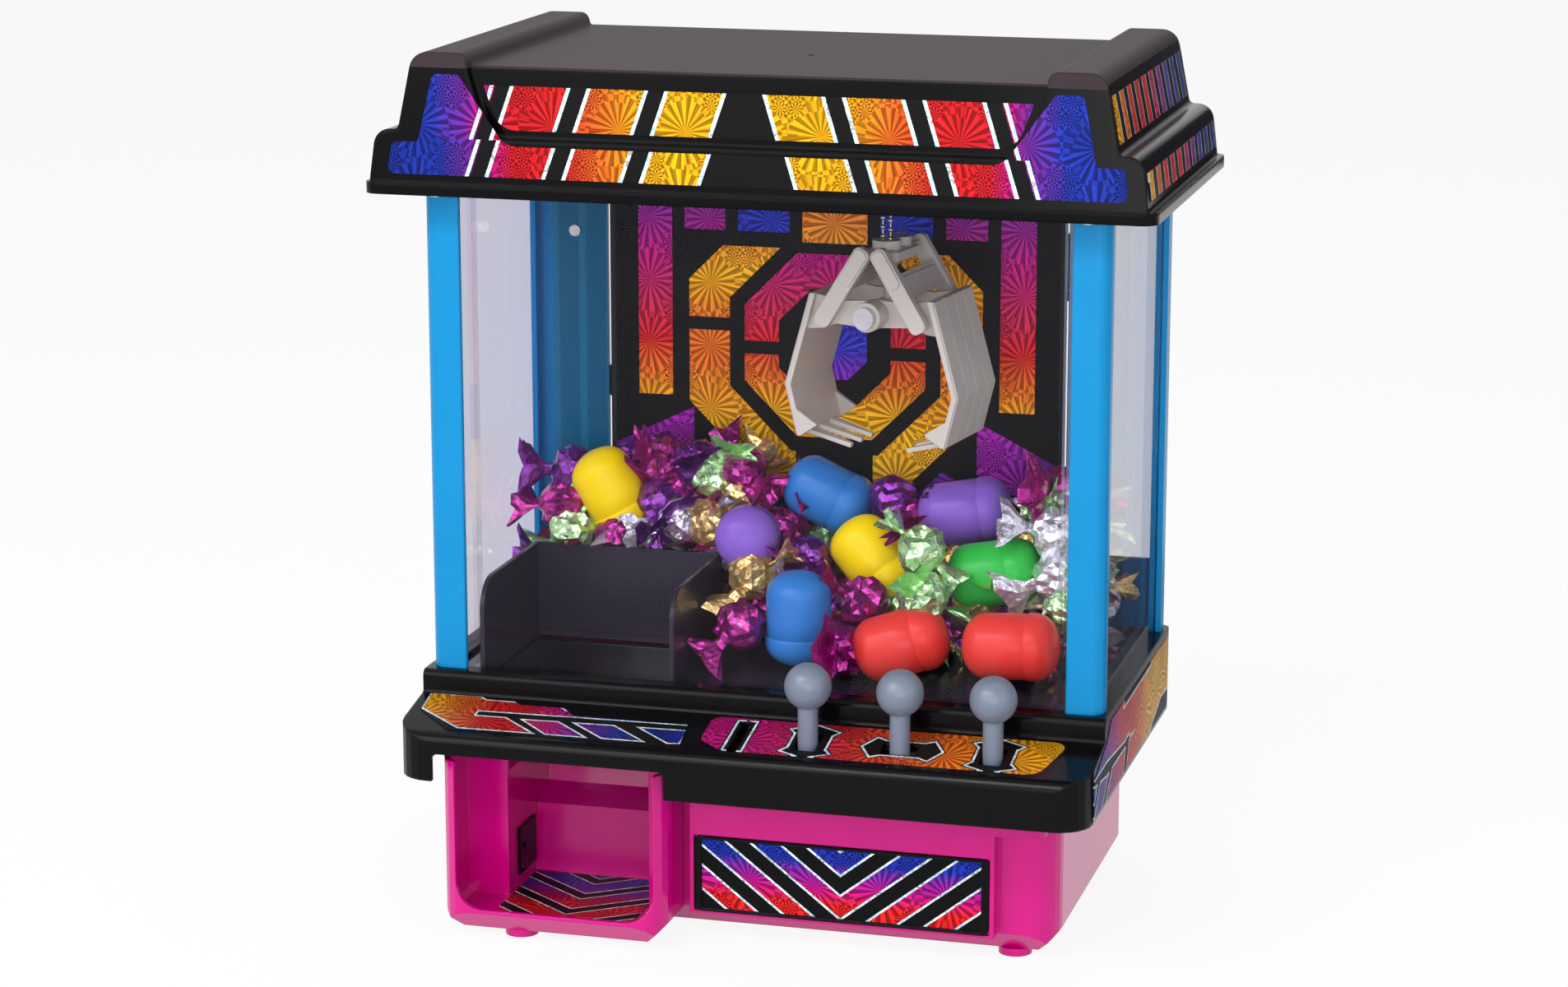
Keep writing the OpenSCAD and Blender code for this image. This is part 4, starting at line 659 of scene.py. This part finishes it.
class MACHINE_OT_film(bpy.types.Operator):
    """Print the embossed film on roof, deck, panel, tray and back"""

    bl_idname = "machine.film"
    bl_label = "Printed film"

    def roof_front(self):
        """Mirrored slanted blocks, gold beside the middle and blue at the ends"""

        def spread(p):
            middle = (p.z > 342.4) * -3.4 - 0.7
            return abs(p.x - middle)

        def slant(p):
            return spread(p) - (366.0 - p.z) * 0.33 - 7.1

        def ink(p):
            t = slant(p)
            return ((t % pitch) > 26.6) & (t < 100.5) | (t < 0.0)

        def edge(p):
            t = slant(p)
            along = t % pitch
            return ((along < 1.7) & (t < 112.0)) | ((along > 24.9) & (t < 100.0))

        pitch = 33.7
        stops = [(0, GOLD), (42, GOLD), (60, ORANGE), (78, RED), (102, srgb(214, 30, 40))]
        stops += [(111, MAGENTA), (120, PURPLE), (134, BLUE), (170, NAVY)]
        return film(
            "roof_front_film",
            "xz",
            lambda p: p.placed(spread(p), stops),
            ink,
            edge,
            level=0.68,
        )

    def roof_side(self):
        """Narrow stripes from gold at the front to blue at the rear"""

        def along(p):
            return (p.y + (p.z - 320) * 0.12 + 66.0) % 16.8

        stops = [GOLD, ORANGE, RED, RED, RED, MAGENTA, PURPLE, BLUE, NAVY, NAVY]
        return film(
            "roof_side_film",
            "yz",
            lambda p: p.along(p.y, -66, 96, stops),
            lambda p: along(p) > 9.7,
            lambda p: (along(p) > 9.2) | (along(p) < 0.5),
            level=0.85,
            metallic=0.1,
        )

    def chevrons(self, name, plane, depth, span, colours, bands, level):
        """Nested V bands; depth(p) runs from the first V to the last, and the colours over a span of
        the plane's second axis. The bands' numbers are their pitch, their film and its line"""
        pitch, filled, line = bands
        return film(
            name,
            plane,
            lambda p: p.along(getattr(p, plane[1]), *span, colours),
            lambda p: (depth(p) % pitch) > filled,
            lambda p: ((depth(p) % pitch) > filled - line) | ((depth(p) % pitch) < line),
            level=level,
        )

    def panel(self):
        """Chevrons of the panel under the deck"""
        low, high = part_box("panel_sticker")
        middle, top = (low.x + high.x) / 2 / MM, high.z / MM
        return self.chevrons(
            "panel_film",
            "xz",
            lambda p: (top - p.z) + abs(p.x - middle) * 0.78,
            (low.z / MM, top),
            [RED, RED, MAGENTA, srgb(150, 34, 160), BLUE, BLUE],
            (19.5, 11.8, 1.2),
            0.98,
        )

    def tray(self):
        """Chevrons on the prize tray's floor"""
        low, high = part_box("tray_sticker")
        middle, back = (low.x + high.x) / 2 / MM, high.y / MM
        return self.chevrons(
            "tray_film",
            "xy",
            lambda p: (back - p.y) + abs(p.x - middle) * 0.75 + 9.0,
            (low.y / MM, back),
            [RED, RED, RED, srgb(170, 20, 70), PURPLE, BLUE, BLUE],
            (20.5, 14.0, 0.8),
            0.8,
        )

    def deck_left(self):
        """Angular bands from gold to blue on a black ground"""

        def depth(p):
            return p.deepest(DECK_BANDS, p.x, p.y)

        stops = [GOLD, ORANGE, RED, RED, MAGENTA, PURPLE, BLUE, NAVY, BLUE]
        return film(
            "deck_film",
            "xy",
            lambda p: p.along(p.x, -146, -25, stops),
            lambda p: ~((depth(p) > DECK_LINE) | ((depth(p) > 0.0) & (depth(p) < DECK_LINE))),
            lambda p: (depth(p) > 0.0) & (depth(p) < DECK_LINE),
            level=0.7,
        )

    def control(self):
        """Magenta to gold, with outlined black arrows round the sticks and a frame round the coin slot"""
        shapes = control_print()

        def depth(p):
            return p.deepest(shapes, p.x, p.y)

        stops = [MAGENTA, MAGENTA, srgb(212, 40, 84), srgb(216, 54, 50), srgb(226, 84, 44)]
        stops += [ORANGE, srgb(242, 160, 34), GOLD]
        return film(
            "control_film",
            "xy",
            lambda p: p.along(p.x, -20, 136, stops),
            lambda p: (depth(p) > 1.0) | ((depth(p) > -0.6) & (depth(p) < 0.0)),
            lambda p: (depth(p) > 0.0) & (depth(p) < 1.0),
        )

    def skirt(self):
        """Blue at the front to gold at the rear, with a long black zigzag"""

        def depth(p):
            return p.deepest(SKIRT_PRINT, p.y, p.z)

        stops = [BLUE, BLUE, PURPLE, MAGENTA, RED, RED, ORANGE, GOLD, GOLD]
        return film(
            "skirt_film",
            "yz",
            lambda p: p.along(p.y, -100, 60, stops),
            lambda p: depth(p) > 0.0,
            lambda p: (depth(p) > -0.8) & (depth(p) < 0.0),
        )

    def back(self):
        """Octagon rings, bars and a low chevron in film on black"""

        def place(p):
            """Distance from the middle line, height over the rings' middle and octagonal distance from it"""
            x, z = abs(p.x), p.z - 234.0
            return x, z, p.extreme("MAXIMUM", [x, abs(z), (x + abs(z)) * 0.7071])

        def core(p):
            return place(p)[2] < 15

        def bars(p):
            x, z, _ = place(p)
            return (x > 21) & (x < 45) & (z > 51)

        def low(p):
            """The low chevron and the wings over it"""
            x, z, ring = place(p)
            fall = z + x * 0.5
            return (fall < -30) & (ring > 74) | ((x > 66) & (fall < 2) & (fall > -22))

        def shown(p):
            x, z, ring = place(p)
            inner = (ring > 26) & (ring < 42) & (abs(z + 2) > 3)
            outer = (ring > 49) & (ring < 68) & (x > 18) & (abs(z - 8) > 3) & (z < 44)
            side = (x > 76) & (x < 92) & (z > -26)
            middle = (x < 15) & (z > 47)
            corner = (x > 51) & (x < 70) & (z > 51)
            return inner | core(p) | outer | corner | side | low(p) | bars(p) | middle

        def colour(p):
            x, z, ring = place(p)
            rise = [(-70, GOLD), (-30, GOLD), (-16, ORANGE), (0, RED)]
            rise += [(20, srgb(206, 40, 90)), (40, MAGENTA), (70, PURPLE), (84, BLUE)]
            warm = [(-70, srgb(250, 196, 40)), (-36, GOLD), (-10, ORANGE)]
            warm += [(10, ORANGE), (30, GOLD), (80, srgb(240, 90, 60))]
            cool = [(-20, srgb(150, 40, 190)), (0, srgb(60, 60, 200)), (80, BLUE)]
            foot = [(0, BLUE), (30, BLUE), (50, PURPLE), (72, srgb(170, 30, 170)), (103, PURPLE)]
            tone = p.mix((ring > 46) & (ring < 70), p.placed(z, rise), p.placed(z, warm))
            tone = p.mix(core(p) | bars(p), tone, p.placed(z, cool))
            return p.mix(low(p), tone, p.placed(x, foot))

        return film("back_film", "xz", colour, lambda p: ~shown(p), level=1.05)

    def execute(self, context):
        dress("roof_front_sticker", self.roof_front())
        dress("roof_side_stickers", self.roof_side())
        dress("deck_sticker", self.deck_left())
        dress("control_sticker", self.control())
        dress("skirt_stickers", self.skirt())
        dress("back_art", self.back())
        dress("panel_sticker", self.panel())
        dress("tray_sticker", self.tray())
        return {"FINISHED"}


class MACHINE_OT_windows(bpy.types.Operator):
    """Make the front and side windows clear"""

    bl_idname = "machine.windows"
    bl_label = "Windows"

    def sheet(self, name, tint, head_on):
        """Clear sheet whose gloss rises towards a glancing view"""
        p = Pattern(name)
        through = p.add("ShaderNodeBsdfTransparent")
        p.put(through.inputs[0], p.mix(p.noise(8, 2), shade(tint, 0.99), tint))
        gloss = p.add("ShaderNodeBsdfPrincipled")
        gloss.inputs["Base Color"].default_value = (0.95, 0.95, 0.97, 1)
        gloss.inputs["Metallic"].default_value = 1.0
        p.put(gloss.inputs["Roughness"], p.noise(30, 2) * 0.03 + 0.02)
        facing = p.add("ShaderNodeLayerWeight")
        shine = Field(p, facing.outputs["Facing"]).op("POWER", 5.0) * 0.95 + head_on
        return p.blend(shine, through, gloss)

    def execute(self, context):
        tint = tuple(context.scene.machine_colours.window)
        dress("front_window", self.sheet("front_sheet", tint, 0.006))
        side = self.sheet("side_sheet", shade(tint, 0.97), 0.03)
        dress("left_window", side)
        dress("right_window", side)
        return {"FINISHED"}


class MACHINE_OT_crane(bpy.types.Operator):
    """Finish rails, bridge, trolley, motors, claw and chains"""

    bl_idname = "machine.crane"
    bl_label = "Crane and claw"

    def execute(self, context):
        colour = tuple(context.scene.machine_colours.claw)
        claw = plastic("claw_satin", colour, 0.36, 0.25, edge=0.0005)
        groups = {
            claw: "claw_hub jaw_left jaw_right link_left link_right grip_block",
            metal("bead_steel", srgb(196, 190, 178), 0.22): "lift_chain grip_chain",
            metal("zinc_plate", srgb(206, 206, 204), 0.3): "claw_bolt screws bridge_axle trolley_axle",
            metal("rail_steel", srgb(170, 172, 176), 0.35): "gantry_rails",
            plastic("crane_grey", srgb(92, 94, 100), 0.5): "bridge_frame trolley_frame hoist_drum",
            metal("motor_can", srgb(150, 150, 154), 0.4): "bridge_motor trolley_motor hoist_motor",
            plastic("speaker_black", srgb(34, 34, 36), 0.6): "speaker",
        }
        dress_all(groups)
        p = Pattern("board_green")
        tracks = p.chance((p.x / 1.6).op("FLOOR"), (p.y / 6.0).op("FLOOR")) > 0.6
        dress("circuit_board", p.finish(p.mix(tracks, srgb(16, 70, 40), srgb(36, 108, 62)), 0.4))
        p = Pattern("cell_wrap")
        band = (p.y % 42.0) > 30.0
        tone = p.mix(band, srgb(40, 40, 44), srgb(176, 120, 44))
        dress("batteries", p.finish(tone, p.noise(90) * 0.1 + 0.28))
        return {"FINISHED"}


# Each capsule's colour, its middle in millimetres, and its tilt and turn in degrees
CAPSULES = [
    ("yellow", (-96.5, 38.5, 167.5), (152, 12)),
    ("violet", (-26.5, 16.2, 156), (102, 104)),
    ("blue", (3, 47, 170), (112, -8)),
    ("yellow", (29.6, 23.5, 147.6), (135, -15)),
    ("violet", (68, 35.4, 169.1), (80, 5)),
    ("green", (87.5, 7.2, 149.4), (80, 0)),
    ("blue", (6.8, -20.2, 130.8), (180, 0)),
    ("red", (53.7, -24.6, 123.9), (72, 5)),
    ("red", (102.9, -29.5, 127.3), (88, 0)),
]
CAPSULE_COLOURS = {
    "yellow": srgb(255, 220, 0),
    "violet": srgb(128, 92, 186),
    "blue": srgb(48, 120, 190),
    "green": srgb(48, 186, 68),
    "red": srgb(226, 60, 52),
}


class MACHINE_OT_capsules(bpy.types.Operator):
    """Make the two-part prize capsules"""

    bl_idname = "machine.capsules"
    bl_label = "Prize capsules"

    def execute(self, context):
        sizes = context.scene.machine_prizes
        r, h = sizes.capsule_radius, sizes.capsule_half
        seam, dome, neck = h * 0.36, 0.0105, 0.97
        crown = [
            (math.sin(math.radians(a)) ** 0.9, 1 - math.cos(math.radians(a)))
            for a in (0, 12, 24, 36, 48, 60, 70, 80, 90)
        ]
        outline = [(r * neck * a, -h + dome * b) for a, b in crown]
        outline += [(r * 0.975, 0), (r * 0.978, seam - 0.0006), (r * 0.955, seam - 0.0003)]
        outline += [(r * 0.955, seam), (r * 0.995, seam + 0.0002), (r, seam + 0.0008)]
        outline += [(r * a, h - dome * b) for a, b in reversed(crown)]
        materials = {
            name: plastic(f"capsule_{name}", colour, 0.3, 0.1, specular_ior_level=0.2)
            for name, colour in CAPSULE_COLOURS.items()
        }
        for number, (colour, place, (tilt, turn)) in enumerate(CAPSULES, 1):
            bm = bmesh.new()
            lathe(bm, outline, 48, Matrix.Translation(Vector(place) * MM) @ turned(tilt, turn))
            name = f"capsule_{number}_{colour}"
            piece(name, bm, materials[colour], "root", "capsule_plastic", "prize_capsules")
        return {"FINISHED"}


# Each foil's deep and light tone
FOILS = {
    "plum": (srgb(92, 6, 84), srgb(206, 46, 156)),
    "green": (srgb(118, 184, 104), srgb(214, 246, 190)),
    "gold": (srgb(204, 158, 66), srgb(250, 228, 160)),
    "silver": (srgb(200, 202, 208), srgb(250, 250, 252)),
    "violet": (srgb(58, 10, 84), srgb(146, 46, 170)),
}


# How far the open jaws come down over the heap
HOIST_DROP = 0.019

# Sweets laid one by one in view of the windows: foil and middle in millimetres
SHOWN_SWEETS = [
    ("green", (62, -20, 144)),
    ("green", (59, -9, 162)),
    ("gold", (-20, 0, 143)),
    ("plum", (-17.5, -28, 121)),
    ("silver", (131, 4, 170)),
    ("plum", (-128, 34, 161)),
    ("green", (-112, 28, 150)),
    ("plum", (-92, 30, 148)),
    ("violet", (-116, 56, 176)),
    ("plum", (-74, 56, 184)),
    ("violet", (-58, 54, 182)),
    ("green", (-50, 46, 178)),
    ("plum", (-36, 56, 184)),
    ("gold", (-38, 44, 171)),
    ("silver", (-62, 31, 158)),
    ("gold", (-48, 32, 158)),
    ("violet", (-73, 36, 164)),
    ("violet", (34, 54, 172)),
    ("plum", (112, 54, 180)),
    ("silver", (130, 40, 176)),
    ("plum", (28, -44, 116)),
]


# More sweets lie at these places beside each packed one, where there is room for them
GAP_SHIFTS = ((0.0158, 0.001, 0.0065), (0.0, 0.0075, 0.0150), (0.0145, 0.004, 0.021))
# Room that the middle of such a sweet keeps from the side window, a capsule's axis and other sweets,
# and how far back it may lie
WALL_ROOM = 0.012
REAR_LIMIT = 0.056
CAPSULE_ROOM = 0.0225
SWEET_ROOM = 0.0125
# A sweet in front of a capsule shows if its middle passes the capsule's axis by this much
HIDING_ROOM = 0.028
# Half length of a capsule's axis between its round ends
AXIS_HALF = 0.008
# Share of each foil in the heap, in the order of FOILS, and beside the right window
FOIL_SHARES = (42, 17, 12, 11, 18)
RIGHT_SHARES = (26, 26, 10, 28, 10)


class MACHINE_OT_sweets(bpy.types.Operator):
    """Wrap the sweets in crinkled foil"""

    bl_idname = "machine.sweets"
    bl_label = "Wrapped sweets"

    def sweet(self, bm, place, rng, sizes):
        """One crumpled core with a pleated fan of foil twisted at each end"""
        seed = Vector([rng.uniform(-50, 50) for _ in range(3)])
        made = bmesh.ops.create_icosphere(bm, subdivisions=3, radius=1.0)["verts"]
        folds = rng.randint(7, 11)
        for v in made:
            n = v.co.normalized()
            around = math.atan2(n.z, n.y)
            crease = abs(noise.noise(n * 2.3 + seed)) * 1.5 + abs(noise.noise(n * 5.9 + seed)) * 1.3
            pleat = abs(math.sin(around * folds / 2 + 2.0 * noise.noise(n * 2 + seed))) * abs(n.x) ** 1.5
            v.co = Vector((n.x * 1.04, n.y, n.z)) * (1.12 - 0.2 * crease - 0.2 * pleat) * sizes.sweet_radius
        for side in (-1, 1):
            length = rng.uniform(0.011, 0.0165)
            rim = sizes.fan_radius * rng.uniform(0.85, 1.25)
            squeeze, waves, start = rng.uniform(0.25, 0.6), rng.choice((3, 4, 5)), rng.uniform(0, 6)
            flare = [(0, 0), (0.22, 0), (0.24, 0.25), (0.58, 0.55), (0.84, 0.8), (1, 1)]
            flare += [(0.6, 0.7), (0.25, 0.35), (0, 0.3)]
            outline = [(rim * wide, length * t) for wide, t in flare]
            fan = lathe(bm, outline, 16)
            for v in fan:
                t, around = v.co.z / length, math.atan2(v.co.y, v.co.x)
                wave = math.sin(around * waves + start) * 0.3 + math.sin(around * 7 + start * 2) * 0.12
                grow = (1 + wave * t) * (1 + rng.uniform(-0.09, 0.09) * t)
                v.co.x *= grow
                v.co.y *= grow * squeeze
                v.co.z += length * (rng.uniform(-0.06, 0.06) + wave * 0.25) * t
            end = Matrix.Translation((side * sizes.sweet_radius * 0.88, 0, 0))
            seat = end @ Matrix.Rotation(side * math.pi / 2, 4, "Y")
            bend = Matrix.Rotation(rng.uniform(-0.4, 0.4), 4, "Y")
            bend = bend @ Matrix.Rotation(rng.uniform(-0.4, 0.4), 4, "Z")
            bend = bend @ Matrix.Rotation(rng.uniform(0, math.pi), 4, "X")
            bmesh.ops.transform(bm, matrix=bend @ seat, verts=fan)
            made += fan
        turn = Matrix.Rotation(rng.uniform(0, math.tau), 4, "Z")
        turn = turn @ Matrix.Rotation(rng.gauss(0, 0.6), 4, "Y")
        bmesh.ops.transform(bm, matrix=Matrix.Translation(place) @ turn, verts=made)
        return made

    def spots(self, hopper):
        """Middles of the sweets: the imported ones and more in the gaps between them, where they leave the
        capsules in sight"""
        packed = islands("wrapped_sweets")
        top = max(p.z for p in packed)
        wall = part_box("right_window")[0].x - WALL_ROOM
        extra = []
        for place in packed:
            for shift in GAP_SHIFTS:
                spot = place + Vector(shift)
                in_chute = spot.x < hopper.x + 0.009 and spot.y < hopper.y + 0.009
                too_high = spot.z > top + (0.022 if spot.y > 0.03 else 0.008)
                if abs(spot.x) > wall or spot.y > REAR_LIMIT or in_chute or too_high:
                    continue
                clear = all(self.gap(spot, capsule) > CAPSULE_ROOM for capsule in CAPSULES)
                if clear and all((spot - other).length > SWEET_ROOM for other in packed + extra):
                    extra.append(spot)
        return [s for s in packed + extra if not any(self.hides(s, capsule) for capsule in CAPSULES)]

    def hides(self, spot, capsule):
        """True if a sweet there covers a capsule in the camera's view"""
        aim = (spot - CAMERA_PLACE).normalized()
        away = (Vector(capsule[1]) * MM - CAMERA_PLACE).dot(aim)
        nearer = (spot - CAMERA_PLACE).length < away
        return nearer and self.gap(CAMERA_PLACE + aim * away, capsule) < HIDING_ROOM

    def gap(self, spot, capsule):
        """Distance from a point to a capsule's axis"""
        _, place, (tilt, turn) = capsule
        axis = turned(tilt, turn, 3) @ Vector((0, 0, 1))
        away = spot - Vector(place) * MM
        along = max(-AXIS_HALF, min(AXIS_HALF, away.dot(axis)))
        return (away - axis * along).length

    def push_inside(self, verts, limits):
        """Moves a sweet whole until it lies within the low and high limits of x, y and z"""
        for axis, (low, high) in enumerate(limits):
            spread = [v.co[axis] for v in verts]
            shift = max(0.0, low - min(spread)) - max(0.0, max(spread) - high)
            for v in verts:
                v.co[axis] += shift

    def flatten_at_hopper(self, verts, hopper, behind):
        """Presses what would stand in the chute hopper flat against its outer wall"""
        for v in verts:
            if v.co.x < hopper.x + 0.0004 and v.co.y < hopper.y + 0.0004 and v.co.z < hopper.z + 0.001:
                if behind:
                    v.co.y = hopper.y + 0.0005
                else:
                    v.co.x = hopper.x + 0.0005

    def foil(self, name, low, high):
        """Crumpled metal foil between a deep and a light tone"""
        p = Pattern(f"foil_{name}")
        crumple = p.add("ShaderNodeTexVoronoi", feature="F1")
        p.link(p.place, crumple.inputs["Vector"])
        crumple.inputs["Scale"].default_value = 330
        facets = Field(p, crumple.outputs["Distance"])
        tone = p.mix(p.noise(110, 3), low, high)
        relief = p.normal(facets + p.noise(520, 3) * 0.6, 0.45, 0.001)
        gloss = p.noise(150) * 0.16 + 0.14
        return p.finish(tone, gloss, relief, metallic=0.75, coat_weight=0.4, coat_roughness=0.1)

    def execute(self, context):
        sizes = context.scene.machine_prizes
        rng = random.Random(41)
        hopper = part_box("chute_hopper")[1]
        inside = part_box("right_window")[0].x - 0.0006
        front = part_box("front_window")[0].y + 0.0026
        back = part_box("back_art")[0].y - 0.0006
        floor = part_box("playfield_floor")[1].z + 0.0003
        left_jaw, right_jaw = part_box("jaw_left")[0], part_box("jaw_right")[1]
        heaps = {name: bmesh.new() for name in FOILS}
        heap = [(name, Vector(place) * MM) for name, place in SHOWN_SWEETS]
        for place in self.spots(hopper):
            weights = RIGHT_SHARES if place.x > 0.11 else FOIL_SHARES
            heap.append((rng.choices(list(FOILS), weights=weights)[0], place))
        for name, place in heap:
            verts = self.sweet(heaps[name], place, rng, sizes)
            under_claw = left_jaw.x - 0.024 < place.x < right_jaw.x + 0.024
            top = left_jaw.z - 0.0012 - (HOIST_DROP if under_claw else 0)
            self.push_inside(verts, ((-inside, inside), (front, back), (floor, top)))
            self.flatten_at_hopper(verts, hopper, place.y > hopper.y)
        for name, bm in heaps.items():
            bmesh.ops.recalc_face_normals(bm, faces=bm.faces)
            wrap = self.foil(name, *FOILS[name])
            piece(f"sweets_{name}", bm, wrap, "root", "foil", "wrapped_sweets", flat=True)
        return {"FINISHED"}


# Each lamp's name, place, aim, size and the setting that holds its power
LAMPS = [
    ("key_light", (-0.9, -1.5, 1.1), (0, 0, 0.2), (1.3, 1.3), "key"),
    ("front_light", (0.5, -1.9, 0.5), (0, 0, 0.2), (1.6, 0.7), "front"),
    ("edge_light", (-0.4, -1.3, 1.5), (0, 0, 0.2), (2.2, 0.05), "edge"),
    ("fill_light", (1.6, -0.9, 0.8), (0, 0, 0.2), (1.0, 1.4), "fill"),
    ("top_light", (0.1, 0.4, 1.7), (0, 0, 0.3), (1.6, 1.2), "rim"),
]
# Place and lean, in degrees, of the cards behind the right side
CARDS = [((1.4, 0.5, 0.46), 90), ((1.4, 0.3, 0.019), 5)]
CARD_SIZE = (2.4, 0.4, 1, 1)


class MACHINE_OT_stage(bpy.types.Operator):
    """Set the floor, the lights and the camera"""

    bl_idname = "machine.stage"
    bl_label = "Studio"

    def add(self, name, data):
        thing = bpy.data.objects.new(name, data)
        bpy.context.scene.collection.objects.link(thing)
        return thing

    def sheets(self, name, seats, size):
        """Flat sheets that belong to the studio, as one mesh"""
        bm = bmesh.new()
        for seat in seats:
            bmesh.ops.create_grid(bm, x_segments=1, y_segments=1, size=size, matrix=seat)
        mesh = bpy.data.meshes.new(name)
        bm.to_mesh(mesh)
        bm.free()
        thing = self.add(name, mesh)
        return thing

    def floor(self):
        """White floor that looks evenly bright and still takes the machine's shadow"""
        floor = self.sheets("studio_floor", [Matrix()], 6)
        p = Pattern("studio_white")
        lit = p.add("ShaderNodeBsdfDiffuse")
        p.put(lit.inputs[0], (0.86, 0.86, 0.87))
        glow = p.add("ShaderNodeEmission")
        floor.data.materials.append(p.blend(p.seen() * 0.9, lit, glow))

    def dark_cards(self):
        """Dark cards at roof and base height behind the right side, which only reflections see"""
        seats = [
            Matrix.Translation(place)
            @ Matrix.Rotation(math.radians(lean), 4, "X")
            @ Matrix.Diagonal(CARD_SIZE)
            for place, lean in CARDS
        ]
        cards = self.sheets("studio_cards", seats, 0.5)
        cards.visible_camera = cards.visible_diffuse = False
        cards.visible_shadow = cards.visible_transmission = False
        black = Pattern("card_black").finish(srgb(46, 44, 50), 0.9, specular_ior_level=0.1)
        cards.data.materials.append(black)

    def room(self, scene, light):
        """White room whose own light is weaker than it looks"""
        world = scene.world or bpy.data.worlds.new("studio_room")
        scene.world = world
        world.use_nodes = True
        room = Nodes(world.node_tree)
        strength = room.add("ShaderNodeMapRange")
        room.put(strength.inputs["Value"], room.seen())
        room.put(strength.inputs["To Min"], light)
        background = room.add("ShaderNodeBackground")
        room.put(background.inputs["Color"], (1, 1, 1))
        room.put(background.inputs["Strength"], strength.outputs[0])
        end = room.add("ShaderNodeOutputWorld")
        room.link(background.outputs[0], end.inputs["Surface"])

    def lamp(self, name, place, target, size, power):
        data = bpy.data.lights.new(name, "AREA")
        data.shape = "RECTANGLE"
        data.size, data.size_y = size
        data.energy = power
        self.aim(self.add(name, data), Vector(place), Vector(target))

    def aim(self, thing, place, target):
        """Sets a lamp or the camera at a place and turns it to its target"""
        thing.location = place
        thing.rotation_euler = (target - place).to_track_quat("-Z", "Y").to_euler()

    def camera(self, scene, lens):
        data = bpy.data.cameras.new("camera")
        data.lens = lens
        data.sensor_width = 36
        scene.camera = self.add("camera", data)
        self.aim(scene.camera, CAMERA_PLACE, CAMERA_TARGET)

    def execute(self, context):
        scene, studio = context.scene, context.scene.machine_studio
        self.floor()
        self.room(scene, studio.sky)
        self.dark_cards()
        for name, place, target, size, setting in LAMPS:
            self.lamp(name, place, target, size, getattr(studio, setting))
        self.camera(scene, studio.lens)
        scene.view_settings.view_transform = "Standard"
        return {"FINISHED"}


STEPS = [
    MACHINE_OT_plastics,
    MACHINE_OT_film,
    MACHINE_OT_windows,
    MACHINE_OT_crane,
    MACHINE_OT_capsules,
    MACHINE_OT_sweets,
    MACHINE_OT_stage,
]


class MACHINE_PT_panel(bpy.types.Panel):
    """Lists the machine's parts and their settings"""

    bl_idname = "MACHINE_PT_panel"
    bl_label = "Claw Crane Machine"
    bl_space_type = "VIEW_3D"
    bl_region_type = "UI"
    bl_category = "Claw Machine"

    def draw(self, context):
        for step in STEPS:
            self.layout.operator(step.bl_idname)
        for group in GROUPS:
            box = self.layout.box()
            for name in GROUPS[group].__annotations__:
                box.prop(getattr(context.scene, group), name)


GROUPS = {
    "machine_colours": MachineColours,
    "machine_prizes": PrizeSizes,
    "machine_studio": StudioSettings,
}


def register():
    for cls in (*GROUPS.values(), *STEPS, MACHINE_PT_panel):
        bpy.utils.register_class(cls)
    for name, cls in GROUPS.items():
        setattr(bpy.types.Scene, name, PointerProperty(type=cls))


def unregister():
    for name in GROUPS:
        delattr(bpy.types.Scene, name)
    for cls in reversed((*GROUPS.values(), *STEPS, MACHINE_PT_panel)):
        bpy.utils.unregister_class(cls)


def main():
    register()
    for step in STEPS:
        category, name = step.bl_idname.split(".")
        if getattr(getattr(bpy.ops, category), name)() != {"FINISHED"}:
            raise RuntimeError(f"{step.bl_label} wasn't finished")


if __name__ == "__main__":
    main()
